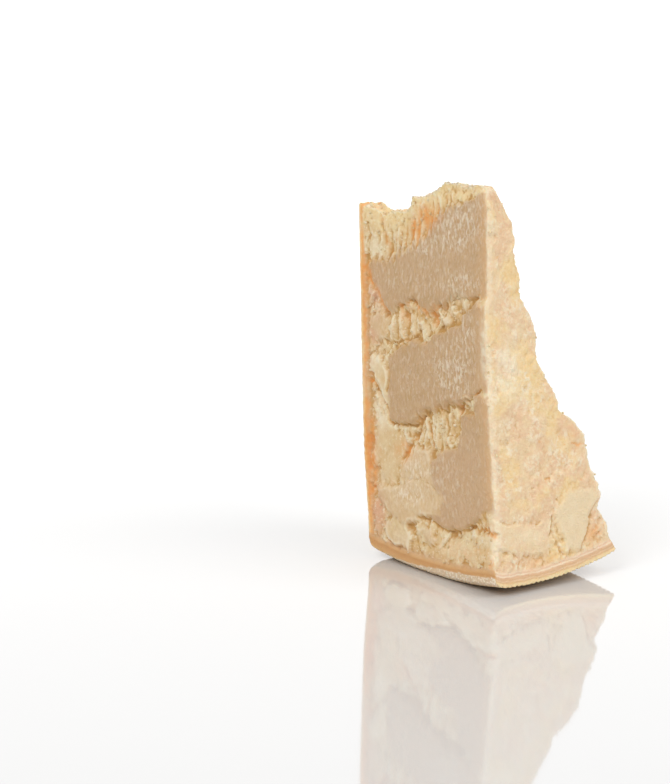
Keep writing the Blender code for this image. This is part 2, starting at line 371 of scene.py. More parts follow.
LEFT_SPOTS = spots(
    (15.5, 132, 4.4, 4.0, 2.4), (13, 83, 4.0, 4.4, 2.0), (71.5, 120, 1.9, 6.0, 2.4),
    (66.5, 122, 1.7, 4.4, 1.8), (49, 122, 4.0, 3.4, 2.2), (46.5, 115.5, 3.0, 2.4, 1.2),
    (31.5, 124, 3.4, 2.6, 1.6), (24, 127, 3.0, 2.6, 1.0), (57, 117, 3.0, 2.4, 1.0),
    (37, 127, 2.4, 2.0, 1.0), (44, 128, 2.0, 2.2, 0.9), (36.5, 119, 3.0, 2.0, -1.2),
    (63.0, 126, 2.4, 3.2, -2.0), (61.0, 119, 2.2, 4.0, -1.6), (41, 124, 2.6, 3.0, -2.2),
    (54, 132, 3.0, 1.8, -1.0), (34, 130, 3.0, 1.6, -1.0), (23, 82, 2.8, 2.6, -2.2),
    (58, 68, 6.0, 5.0, -1.2), (85, 163, 8.0, 14.0, 1.0), (71, 163, 4.0, 12.0, -1.6),
    (84, 76, 5.0, 9.0, -0.9), (31, 20.5, 6.0, 2.4, -1.8), (57.5, 19.5, 4.0, 4.0, 1.3),
    (48, 10, 8.0, 5.0, 0.9), (36, 12, 6.0, 5.0, 0.8), (24, 14, 6.0, 6.0, 1.0), (11, 15, 6.0, 7.0, 1.1),
    (2, 11, 5.0, 6.0, 0.6), (60, 177, 10.0, 7.0, -1.4), (45, 126, 20.0, 5.0, -1.2),
)

LEFT_GROOVES = (
    Groove(((91, 92), (86, 85), (80, 79), (76, 72)), 1.5, 1.8, 0.7),
    Groove(((76, 71), (66, 70.5), (58, 71.5), (52, 75), (47, 78.5)), 1.0, 1.3, 0.15),
    Groove(((52, 76), (54.5, 70), (57, 65), (62, 60), (66, 53)), 1.6, 2.2, 0.25),
    Groove(((47, 74), (45, 67), (43.5, 61)), 1.0, 1.6, 0.45),
    Groove(((92, 150), (88, 144), (82, 136), (76, 128)), 2.0, 1.2, 0.8),
    Groove(((66, 131), (58, 133), (50, 130), (42, 128), (34, 129.5)), 0.9, 1.0, 0.3),
    Groove(((75, 105), (74.5, 96), (76, 86)), 0.8, 0.9, 0.2),
    Groove(((68, 42.5), (58, 44.5), (48, 44), (41, 41)), 0.5, 0.45, 0.1),
    Groove(((56, 26), (50, 25), (46, 24.5), (37, 21.5), (27, 22)), 1.0, 1.5, 0.15),
    Groove(((20, 25), (10, 25.5), (-2, 22.5)), 1.0, 1.5, 0.4),
    Groove(((82, 8), (76, 6.6), (66, 6.4)), 0.8, 1.0, 0.3),
    Groove(((17, 88.2), (9, 88.6), (2, 89.4)), 0.5, 0.5, 0.55),
    Groove(((14, 134.5), (7, 134), (0, 134.5)), 0.5, 0.35, 0.8),
    Groove(((78, 113.5), (68, 112), (58, 114)), 1.0, 0.9, 0.25),
    Groove(((78, 176), (76, 168), (73, 157)), 1.8, 1.1, 0.5),
    Groove(((89, 172), (88, 162), (90, 154)), 1.2, 0.8, 0.4),
)

LEFT_RIDGES = (
    RidgeRow(((72, 160), (60, 162), (50, 166), (43, 172)), 8.0, 4.5, 1.0, 4.8, 0.7),
    RidgeRow(((42, 176), (34, 178), (26, 180)), 4.5, 3.6, 0.6, 2.4, 0.5),
    RidgeRow(((47, 70), (36, 73), (26, 78)), 7.0, 4.4, 0.45, 1.5, 0.25),
    RidgeRow(((50, 68), (36, 70), (24, 76)), 8.0, 2.3, 0.22, 0.8, 0.1),
    RidgeRow(((66, 130), (50, 128), (30, 129)), 3.0, 6.5, 0.15, 0.9, 0.6),
)

# How far the front edge stands out between the panels: distance in from the rind, then the level
EDGE_LEVELS = ((0, -0.4), (22, -0.8), (30, -0.4), (36, 0.0), (50, 0.4), (75, 1.5), (88, 2.2), (100, 2.2),
               (126, 3.0), (131, 2.4), (136, 0.9), (150, 0.7), (185, 0.2))

# Where the left face is orange, or pale where negative: its middle, half widths and strength
# Several orange spots lie in the hollows of LEFT_SPOTS, as painted shade
LEFT_WARM_SPOTS = spots(
    (38, 173, 9, 7, 0.45), (54, 169, 3, 4, 0.5), (48, 178, 7, 5, 0.35), (20, 172, 3, 4, 0.35),
    (90, 148, 4, 5, 0.9), (92, 136, 2.5, 10, 0.5), (63, 125, 3, 4, 0.5), (41, 124, 3, 3.5, 0.6),
    (54, 133, 3, 2.5, 0.5), (92, 84, 3, 9, 0.45), (92.3, 44, 2.0, 15, 1.6), (90.0, 44, 3.0, 14, 0.9),
    (85, 76, 7, 13, -1.0), (62, 57, 11, 5, 0.3), (91.0, 68, 2.5, 8, 1.0), (88, 58, 4, 6, 0.4),
    (67, 56, 7, 8, 0.42), (77, 40, 3, 5, 0.3), (23, 82, 3, 3, 0.35), (2, 9, 3, 2.5, 0.7),
    (1, 23, 4, 2.0, 0.5), (82, 160, 6, 7, -0.6), (66, 158, 8, 3, -0.45), (20, 134, 8, 4, -0.6),
    (0.5, 110, 2.6, 16, -0.9), (45, 126, 22, 5, 0.30), (22, 13, 26, 7, 0.40), (4, 27, 6, 3, 0.45),
    (48, 168, 12, 7, 0.35), (12, 184, 8, 4, 0.35), (13, 83, 4, 4, -0.5), (49, 122, 4.5, 4, -0.5),
    (71.5, 120, 2.2, 5.5, -0.5), (84, 102, 5, 7, -0.5), (85, 39, 3, 6, -0.6), (68, 13, 8, 5, -0.4),
)

# Where the left face blushes pink under the rind: its middle, half widths and strength
LEFT_BLUSH_SPOTS = spots(
    (86, 135, 6, 10, 1.0), (88, 116, 5, 9, 0.8), (90, 100, 4, 8, 0.6), (88, 20, 7, 13, 1.0),
    (90, 55, 4, 22, 0.7), (60, 7, 30, 2.5, 0.4),
)

# Where the panels are thick with torn pale flecks: its middle, half widths and strength
LEFT_FLECK_SPOTS = spots(
    (20, 170, 15, 11, 1.4), (34, 164, 14, 5, 1.0), (18, 141, 13, 6, 0.9), (42, 160, 16, 4, 0.9),
    (24, 99, 13, 12, 1.2), (44, 146, 16, 10, 0.35), (70, 145, 10, 8, 0.3), (56, 92, 12, 14, 0.3),
    (12, 118, 7, 9, 0.7), (30, 45, 10, 14, 0.35), (55, 50, 14, 8, 0.8), (62, 36, 13, 5, 1.1),
)

# Where the broken ground is calm: its middle, half widths and how calm
LEFT_CALM_SPOTS = spots((28, 12, 44, 9, 0.78), (84, 166, 11, 15, 0.5))


@dataclass(frozen=True)
class LeftFace:
    """The face that the knife split: crumbly ground with smooth panels and shelves standing out."""

    wheel: Wheel
    ground: float = -1.9
    facet_size: float = 9.0
    facet_height: float = 1.2
    shard_size: float = 4.2
    shard_height: float = 0.62
    torn_size: float = 5.6
    torn_height: float = 0.55
    stretch: float = 1.5
    grit_size: float = 2.4
    grit_height: float = 0.16
    knife_step: float = 1.4
    flake_step: float = 3.4

    def terrain(self, axial: np.ndarray, inward: np.ndarray) -> Terrain:
        """Relief and surface of the face.

        Args:
            axial: Distance from the front edge along the wheel's axis.
            inward: Distance in from the rind, as a share of the way to the tip times the face's length.

        Returns:
            The face's terrain at those places.
        """
        inward = inward * (1.0 + tip_height(axial) / self.wheel.face_length)
        relief = self._rubble(axial, inward)
        shares = [np.zeros(axial.shape), np.zeros(axial.shape), np.ones(axial.shape)]
        warm = heaped(LEFT_WARM_SPOTS, axial, inward)
        wander_axial = axial + 1.4 * swell(axial, inward, 9.0, 11.0) + 0.9 * swell(axial, inward, 2.6, 13.0)
        wander_inward = inward + 1.4 * swell(axial, inward, 9.0, 17.0)
        wander_inward += 1.5 * swell(axial, inward * 0.22, 2.8, 15.0)
        for row in LEFT_RIDGES:
            wave = row.wave(axial, inward)
            near = row.nearness(axial, inward)
            wander_inward -= row.teeth * wave * near
            # Orange painted shade in the gaps between the ridges
            warm += row.orange_shade * np.clip(-wave, 0.0, 1.0) * near
        slope = 3.0 * ease(-0.1, 0.5, swell(axial, inward, 7.0, 21.0))
        unevenness = 0.25 * swell(axial, inward, 24.0, 23.0)
        for panel in LEFT_PANELS:
            step = self.knife_step if panel.cut is Cut.KNIFE else self.flake_step
            distance = inside_distance(panel.corners, wander_axial, wander_inward)
            amount = ease(-step / 2 - slope, step / 2, distance)
            level = panel.height(axial, inward) + unevenness + self._skin_of(panel.cut, axial, inward)
            relief = blend(relief, level, amount)
            shares = [blend(share, own, amount) for share, own in zip(shares, panel.cut.value)]
        knife, flake, crumb = shares
        for spot in LEFT_SPOTS:
            relief += spot.relief(axial, inward)
        for groove in LEFT_GROOVES:
            nearness = groove.nearness(wander_axial, wander_inward)
            relief -= groove.depth * nearness
            # Orange painted shade in the crack
            warm += groove.orange_shade * nearness
            knife *= 1.0 - 0.8 * nearness
        plenty = np.clip(0.2 + heaped(LEFT_FLECK_SPOTS, axial, inward), 0.0, 1.0)
        torn = swell(axial + 0.2 * inward, inward * 0.55, 2.0, 31.0) + 0.36 * (plenty - 0.5)
        torn = ease(-0.02, 0.30, torn) * (0.3 + 0.7 * plenty)
        relief += 0.42 * torn * knife
        fleck = (0.35 * plenty + 0.65 * torn) * np.clip(knife + flake, 0.0, 1.0)
        blush = np.clip(heaped(LEFT_BLUSH_SPOTS, axial, inward), 0.0, 1.0)
        return self._with_edges(Terrain(relief, knife, flake, crumb, fleck, warm, blush), axial, inward)

    def _rubble(self, axial: np.ndarray, inward: np.ndarray) -> np.ndarray:
        """Broken ground: fracture facets, torn lumps drawn towards the tip, grit and upright ridges."""
        relief = self.ground + self.facet_height * facets(axial, inward * 0.8, self.facet_size, 3.0)
        calm = 1.0 - heaped(LEFT_CALM_SPOTS, axial, inward)
        shards = facets(axial, inward / self.stretch, self.shard_size, 4.0)
        torn = lumps(axial, inward / self.stretch, self.torn_size, 5.0)
        fine = self.shard_height * shards + self.torn_height * torn
        fine += self.grit_height * lumps(axial, inward, self.grit_size, 7.0)
        relief += calm * fine
        relief += 0.5 * (1.0 - calm) * swell(axial, inward, 9.0, 9.0)
        for row in LEFT_RIDGES:
            relief += row.height * row.wave(axial, inward) * row.nearness(axial, inward)
        edge = along(EDGE_LEVELS, inward)
        return blend(edge + 0.3 * fine, relief, ease(1.0, 12.0, axial))

    @staticmethod
    def _skin_of(cut: Cut, axial: np.ndarray, inward: np.ndarray) -> np.ndarray:
        """Fine unevenness of a smooth patch: knife drag marks, or the dimples of a flake."""
        if cut is Cut.KNIFE:
            drag = swell(axial * 2.2, inward * 0.5, 2.2, 33.0)
            pits = ease(0.35, 0.7, swell(axial, inward * 0.7, 2.4, 37.0))
            return 0.10 * drag - 0.30 * pits
        return 0.50 * swell(axial, inward, 8.0, 39.0) + 0.18 * swell(axial, inward * 0.6, 2.2, 43.0)

    def _with_edges(self, terrain: Terrain, axial: np.ndarray, inward: np.ndarray) -> Terrain:
        """Bring in the rind along two sides, the slim tip and the rounded edges."""
        wheel = self.wheel
        side_gap = wheel.half_height - axial
        in_paste = ease(wheel.rind_thickness - 1.5, wheel.rind_thickness + 1.0, inward)
        past_side = ease(1.5, 4.5, side_gap)
        relief = blend(-0.3 + 0.15 * swell(axial, inward, 2.5, 47.0), terrain.relief, in_paste)
        relief = blend(0.4 + 0.3 * swell(axial, inward, 2.5, 53.0), relief, past_side)
        relief *= slimming(wheel, inward)
        relief -= rounding(axial, wheel.cut_edge_radius) * ease(2.0, 20.0, inward)
        relief -= rounding(side_gap, wheel.side_edge_radius)
        relief -= rounding(wheel.face_length - inward, wheel.tip_edge_radius)
        band = self.dusty_width(axial)
        dusty = ease(band + 0.3, band - 0.3, inward) * (band > 0.3)
        fuzz = 0.20 * lumps(axial, inward, 1.0, 57.0)
        relief -= dusty * (0.35 * np.clip(band - inward, 0.0, None) - fuzz)
        kept = in_paste * past_side
        return Terrain(relief, terrain.knife * kept, terrain.flake * kept, terrain.crumb * kept,
                       np.clip(terrain.fleck, 0.0, 1.0) * kept, terrain.warm, terrain.blush * (1.0 - dusty))

    @staticmethod
    def dusty_width(axial: np.ndarray) -> np.ndarray:
        """Width of the worn and dusty edge of the outer rind, which shows under the cut rind."""
        return 3.4 * ease(88.0, 30.0, axial) + 0.5 * swell(axial, axial * 0.0, 6.0, 58.0)


def tip_height(axial: np.ndarray) -> np.ndarray:
    """How far the broken tip stands past the tip radius along its top edge."""
    return along(TIP_PROFILE, axial)


def slimming(wheel: Wheel, inward: np.ndarray) -> np.ndarray:
    """Share of its relief that a face keeps: less where the wedge is slim near its tip."""
    return 1.0 - 0.5 * ease(wheel.face_length - 70.0, wheel.face_length, inward)


# Broken edge between the front and right faces: distance in from the rind, then how far it stands out
EDGE_PROFILE = (
    (-2, -0.2), (6, -1.9), (10, -1.5), (13.5, -0.7), (18, -2.2), (23.5, -3.8), (26, -1.6), (29, 0.5),
    (36, 0.3), (43, -0.4), (51, 0.4), (59, 1.4), (65.5, -1.2), (70.5, -4.6), (75.5, -8.5), (80, -7.1),
    (91, -10.1), (101.5, -11.8), (108, -10.0), (114, -7.9), (118.5, -7.4), (125, -8.1), (131.5, -10.6),
    (137.5, -8.8), (143, -7.1), (154.5, -7.0), (158.5, -3.8), (165, -2.8), (176, -4.1), (184, -6.8),
)

RIGHT_SCOOPS = spots(
    (50, 118, 34, 54, -6.5), (72, 58, 24, 28, -5.0), (30, 70, 16, 14, -2.6), (64, 168, 26, 18, -3.0),
)

# Patches of the right face where the break is smooth rather than craggy
RIGHT_PANELS = (
    ((88, 148), (60, 160), (24, 152), (20, 128), (52, 116), (86, 124)),
    ((84, 98), (44, 94), (16, 86), (18, 64), (50, 56), (84, 68)),
    ((74, 46), (34, 44), (14, 38), (16, 20), (50, 16), (80, 24)),
)


@dataclass(frozen=True)
class RightFace:
    """The hidden face: broken off in ledges that start at the lobes of the front edge."""

    wheel: Wheel
    crag_size: float = 10.0
    crag_height: float = 1.4
    ledge_spacing: float = 27.0
    ledge_height: float = 1.3
    lump_size: float = 6.0
    lump_height: float = 0.75
    grit_size: float = 2.4
    grit_height: float = 0.18

    def lobes(self, inward: np.ndarray) -> np.ndarray:
        """How far the broken edge stands outside the straight cut, before the tip slims it."""
        return along(EDGE_PROFILE, inward) / slimming(self.wheel, inward)

    def terrain(self, axial: np.ndarray, inward: np.ndarray) -> Terrain:
        """Relief and surface of the face.

        Args:
            axial: Distance from the front edge along the wheel's axis.
            inward: Distance in from the rind.

        Returns:
            The face's terrain at those places.
        """
        wheel = self.wheel
        slant = inward + 0.18 * axial + 3.0 * swell(axial, inward, 30.0, 31.0) * ease(0.0, 20.0, axial)
        relief = self.lobes(slant)
        settle = ease(10.0, 70.0, axial)
        relief = blend(relief, 0.55 * relief, settle)
        relief += self.ledge_height * np.sin(slant * 2.0 * math.pi / self.ledge_spacing) * settle
        for scoop in RIGHT_SCOOPS:
            relief += scoop.relief(axial, inward)
        smooth = np.zeros(axial.shape)
        wander = 2.0 * swell(axial, inward, 8.0, 44.0) + 0.9 * swell(axial, inward, 2.6, 46.0)
        for corners in RIGHT_PANELS:
            distance = inside_distance(corners, axial + wander, inward + wander)
            smooth = np.maximum(smooth, ease(-1.2, 1.2, distance))
        rough = self.crag_height * (facets(axial, inward * 0.8, self.crag_size, 41.0) - 0.3)
        rough = blend(rough, -0.3 * self.crag_height, 0.75 * smooth)
        fine = self.lump_height * lumps(axial, inward / 1.3, self.lump_size, 45.0)
        fine += self.grit_height * lumps(axial, inward, self.grit_size, 48.0)
        rough += blend(fine, 0.12 * swell(axial * 2.0, inward * 0.6, 2.4, 49.0), smooth)
        relief += rough * ease(3.0, 16.0, axial)
        edge_grit = 0.45 * lumps(axial, inward, 3.2, 50.0) + 0.35 * swell(axial, inward, 1.4, 52.0)
        relief += edge_grit * (1.0 - ease(3.0, 16.0, axial))
        in_paste = ease(wheel.rind_thickness - 3.0, wheel.rind_thickness + 8.0, inward)
        side_gap = wheel.half_height - axial
        past_side = ease(1.0, wheel.rind_thickness + 6.0, side_gap)
        relief = blend(blend(self.lobes(inward), -0.6, ease(0.0, 30.0, axial)), relief, in_paste)
        relief = blend(-0.6, relief, past_side)
        relief *= slimming(wheel, inward)
        relief -= rounding(axial, wheel.side_edge_radius)
        relief -= rounding(side_gap, wheel.side_edge_radius)
        kept = in_paste * past_side
        warm = 0.35 * ease(0.2, 0.7, swell(axial, inward, 20.0, 54.0))
        nothing = np.zeros(axial.shape)
        flecked = ease(-0.1, 0.3, swell(axial, inward * 0.5, 2.2, 55.0)) * smooth
        return Terrain(relief, 0.55 * smooth * kept, 0.45 * smooth * kept, (1.0 - smooth) * kept,
                       0.8 * flecked * kept, warm, nothing)


# Flakes of the front face: corners are (across from the front edge, in from the rind)
FRONT_FLAKES = (
    # Right flake
    Panel(((38, 29), (43, 20), (46, 11), (52, 9), (58, 13), (67, 29), (60, 35), (48, 37)),
          Cut.FLAKE, 0.45),
    # Left flake
    Panel(((-6, 31), (6, 29), (20, 27), (36, 28), (38, 17), (26, 13), (6, 17), (-6, 18)),
          Cut.FACET, 0.25),
)

FRONT_GROOVES = (
    Groove(((3, 30), (8, 29.5), (13, 29.5)), 0.5, 0.35, 0.15),
    Groove(((35.5, 28), (36.5, 24), (35.5, 20)), 0.9, 1.3, 0.5),
    Groove(((37, 20), (40, 13), (45, 9.5)), 0.8, 0.7, 0.15),
    Groove(((55, 10), (62, 16), (67, 26)), 0.8, 0.6, 0.1),
    Groove(((6, 16.5), (16, 14), (27, 12.5)), 0.6, 0.4, 0.1),
    Groove(((26, 27.5), (29, 27)), 0.6, 0.6, 0.3),
    Groove(((49, 58), (55, 55), (60, 54)), 0.5, 0.4, 0.6),
    Groove(((34, 47), (35.5, 45.5)), 0.6, 0.7, 0.4),
    Groove(((24, 44), (25.5, 43.5)), 0.5, 0.6, 0.3),
    Groove(((39, 36), (40, 36)), 0.4, 0.6, 0.2),
)

# Where the front face is tan, or pale where negative: its middle, half widths and strength
FRONT_WARM_SPOTS = spots(
    (17, 103, 11, 14, -0.9), (10, 92, 7, 6, -0.5), (26, 84, 7, 6, -0.4), (40, 66, 9, 6, 0.22),
    (52, 58, 5, 9, 0.24), (22, 22, 14, 5, -0.5), (50, 26, 5, 8, -0.35), (62, 13, 6, 6, 0.28),
    (8, 140, 6, 14, -0.3), (34, 56, 10, 5, 0.2), (42, 44, 12, 4, 0.16), (30, 74, 6, 10, 0.12),
    (32, 9, 16, 4, 0.42), (67, 12, 7, 7, 0.38),
)


@dataclass(frozen=True)
class FrontFace:
    """The mid-wheel cut: nearly flat and finely granular, with raised flakes above the rind."""

    wheel: Wheel
    crag_size: float = 11.0
    flake_step: float = 3.2

    def terrain(self, across: np.ndarray, inward: np.ndarray) -> Terrain:
        """Relief and surface of the face.

        Args:
            across: Distance from the front edge around the wheel.
            inward: Distance in from the rind.

        Returns:
            The face's terrain at those places.
        """
        wheel = self.wheel
        relief = 0.85 * swell(across, inward, 15.0, 51.0) + 0.42 * swell(across, inward, 6.0, 55.0)
        relief += 0.20 * facets(across, inward, 9.0, 54.0)
        relief += 0.14 * lumps(across, inward, 2.6, 56.0)
        low_ground = -0.6 + 0.45 * facets(across, inward, self.crag_size, 57.0)
        low_ground += 0.32 * lumps(across, inward, 4.6, 58.0)
        low_ground += 0.14 * lumps(across, inward, 2.0, 59.0)
        low = 1.0 - ease(18.0, 36.0, inward)
        relief = blend(relief, low_ground, low)
        flake = np.zeros(across.shape)
        wander_across = across + 1.6 * swell(across, inward, 6.0, 61.0)
        wander_across += 0.4 * swell(across, inward, 2.4, 62.0)
        wander_inward = inward + 1.6 * swell(across, inward, 6.0, 63.0)
        wander_inward += 0.4 * swell(across, inward, 2.4, 64.0)
        for panel in FRONT_FLAKES:
            amount = ease(-self.flake_step / 2 - 2.5 * ease(-0.2, 0.5, swell(across, inward, 6.0, 68.0)),
                          self.flake_step / 2,
                          inside_distance(panel.corners, wander_across, wander_inward))
            level = panel.level + 0.35 * swell(across * 1.6, inward, 7.0, 65.0)
            level += 0.12 * facets(across, inward * 0.6, 5.0, 69.0)
            relief = blend(relief, level, amount)
            flake = np.maximum(flake, amount * panel.cut.value[1])
        warm = 0.14 * ease(0.1, 0.6, swell(across, inward, 14.0, 66.0))
        warm += heaped(FRONT_WARM_SPOTS, across, inward)
        for groove in FRONT_GROOVES:
            nearness = groove.nearness(wander_across, wander_inward)
            relief -= groove.depth * nearness
            # Orange painted shade in the crack
            warm += groove.orange_shade * nearness
        in_paste = ease(wheel.rind_thickness - 1.5, wheel.rind_thickness + 0.5, inward)
        strata = 0.12 * np.sin(inward * 2.0 * math.pi / 1.7 + 3.0 * swell(across, inward * 2.0, 12.0, 67.0))
        relief = blend(-0.3 + strata, relief, in_paste)
        relief -= rounding(across, wheel.cut_edge_radius) * ease(2.0, 20.0, inward)
        width = (wheel.radius - inward) * wheel.wedge_angle
        relief -= rounding(width - across, wheel.side_edge_radius)
        relief -= rounding(wheel.face_length - inward, wheel.tip_edge_radius)
        ragged_front_edge = ease(7.0, 2.0, across + 2.5 * swell(across, inward, 4.0, 70.0))
        crumb = np.maximum(0.45 * low * (1.0 - flake), 0.7 * ragged_front_edge) * in_paste
        nothing = np.zeros(across.shape)
        return Terrain(relief, nothing, flake * in_paste, crumb, nothing, warm, nothing)


@dataclass(frozen=True)
class FlatSide:
    """The rind of the wheel's flat side: smooth, barely swollen, rounded into the outer rind."""

    wheel: Wheel

    def relief(self, across: np.ndarray, inward: np.ndarray) -> np.ndarray:
        """Relief of the rind, with shallow press marks and pores."""
        wheel = self.wheel
        relief = wheel.flat_side_swell * ease(5.0, 60.0, inward) + 0.3 * swell(across, inward, 30.0, 61.0)
        relief -= 0.25 * ease(0.3, 0.7, swell(across, inward, 7.0, 73.0))
        relief -= 0.30 * ease(0.45, 0.7, swell(across, inward, 1.6, 75.0))
        return relief - rounding(inward, wheel.rim_radius)


@dataclass(frozen=True)
class OuterRind:
    """The outer rind: barrel-shaped and covered in rows of small dimples left by the mould."""

    wheel: Wheel
    dimple_pitch: float = 3.0
    dimple_depth: float = 0.7
    worn_edge_radius: float = 7.0

    def relief(self, across: np.ndarray, axial: np.ndarray) -> np.ndarray:
        """Relief of the rind under its dimples."""
        wheel = self.wheel
        barrel = -wheel.rind_bulge * (axial / wheel.half_height) ** 2
        relief = barrel + 0.2 * swell(across, axial, 22.0, 71.0) - rounding(across, self.worn_edge_radius)
        return relief - rounding(wheel.half_height - axial, wheel.rim_radius)

    def dimples(self, across: np.ndarray, axial: np.ndarray) -> np.ndarray:
        """Depth of the dimples."""
        row = np.sin(across * 2.0 * math.pi / self.dimple_pitch)
        column = np.cos(axial * 2.0 * math.pi / self.dimple_pitch)
        return self.dimple_depth * ease(-0.2, 0.9, row * column + 0.3 * swell(across, axial, 1.5, 77.0))


# Broken top along the axis: distance from the front edge, then how far it stands past the tip radius
TIP_PROFILE = ((0, 0.6), (9, 2.4), (15, 1.6), (24, 4.0), (32, 4.4), (35, 0.8), (54, -0.6), (57, -6.2),
               (78, -6.2), (91, -1.0), (96, 0.2))


@dataclass(frozen=True)
class Tip:
    """The broken tip of the wedge, with its uneven top edge."""

    wheel: Wheel

    def relief(self, across: np.ndarray, axial: np.ndarray) -> np.ndarray:
        """Relief of the tip, measured towards the wheel's centre."""
        relief = tip_height(axial + 0.8 * swell(across, axial, 3.0, 79.0))
        relief += 0.8 * lumps(across, axial, 11.0, 81.0) * ease(0.0, 8.0, axial)
        relief += 0.6 * blocks(across, axial, 4.2, 83.0)
        relief += 0.25 * lumps(across, axial, 1.8, 85.0)
        relief += 0.9 * swell(across * 0.4, axial, 2.6, 87.0)
        return relief - rounding(axial, self.wheel.tip_edge_radius)


@dataclass
class Surface:
    """A mesh's points in metres with what each needs: normals, place on the wheel and surface shares."""

    points: np.ndarray
    normals: np.ndarray
    wheel_place: np.ndarray
    shares: dict[str, np.ndarray]


def in_scene(name: str, data: bpy.types.ID) -> bpy.types.Object:
    """A new object at the origin, linked to the scene."""
    thing = bpy.data.objects.new(name, data)
    bpy.context.scene.collection.objects.link(thing)
    return thing


def store(mesh: bpy.types.Mesh, name: str, values: np.ndarray) -> None:
    """Write one number for each point as an attribute of a mesh."""
    attribute = mesh.attributes.new(name, "FLOAT", "POINT")
    attribute.data.foreach_set("value", values.astype(np.float32))


def rows_of(items: bpy.types.bpy_prop_collection, field: str, width: int) -> np.ndarray:
    """Numbers of a mesh's items, one row for each."""
    numbers = np.empty(len(items) * width, np.float32)
    items.foreach_get(field, numbers)
    return numbers.reshape(-1, width)


def triangles_of(mesh: bpy.types.Mesh) -> int:
    """How many triangles a mesh has."""
    return sum(len(polygon.vertices) - 2 for polygon in mesh.polygons)


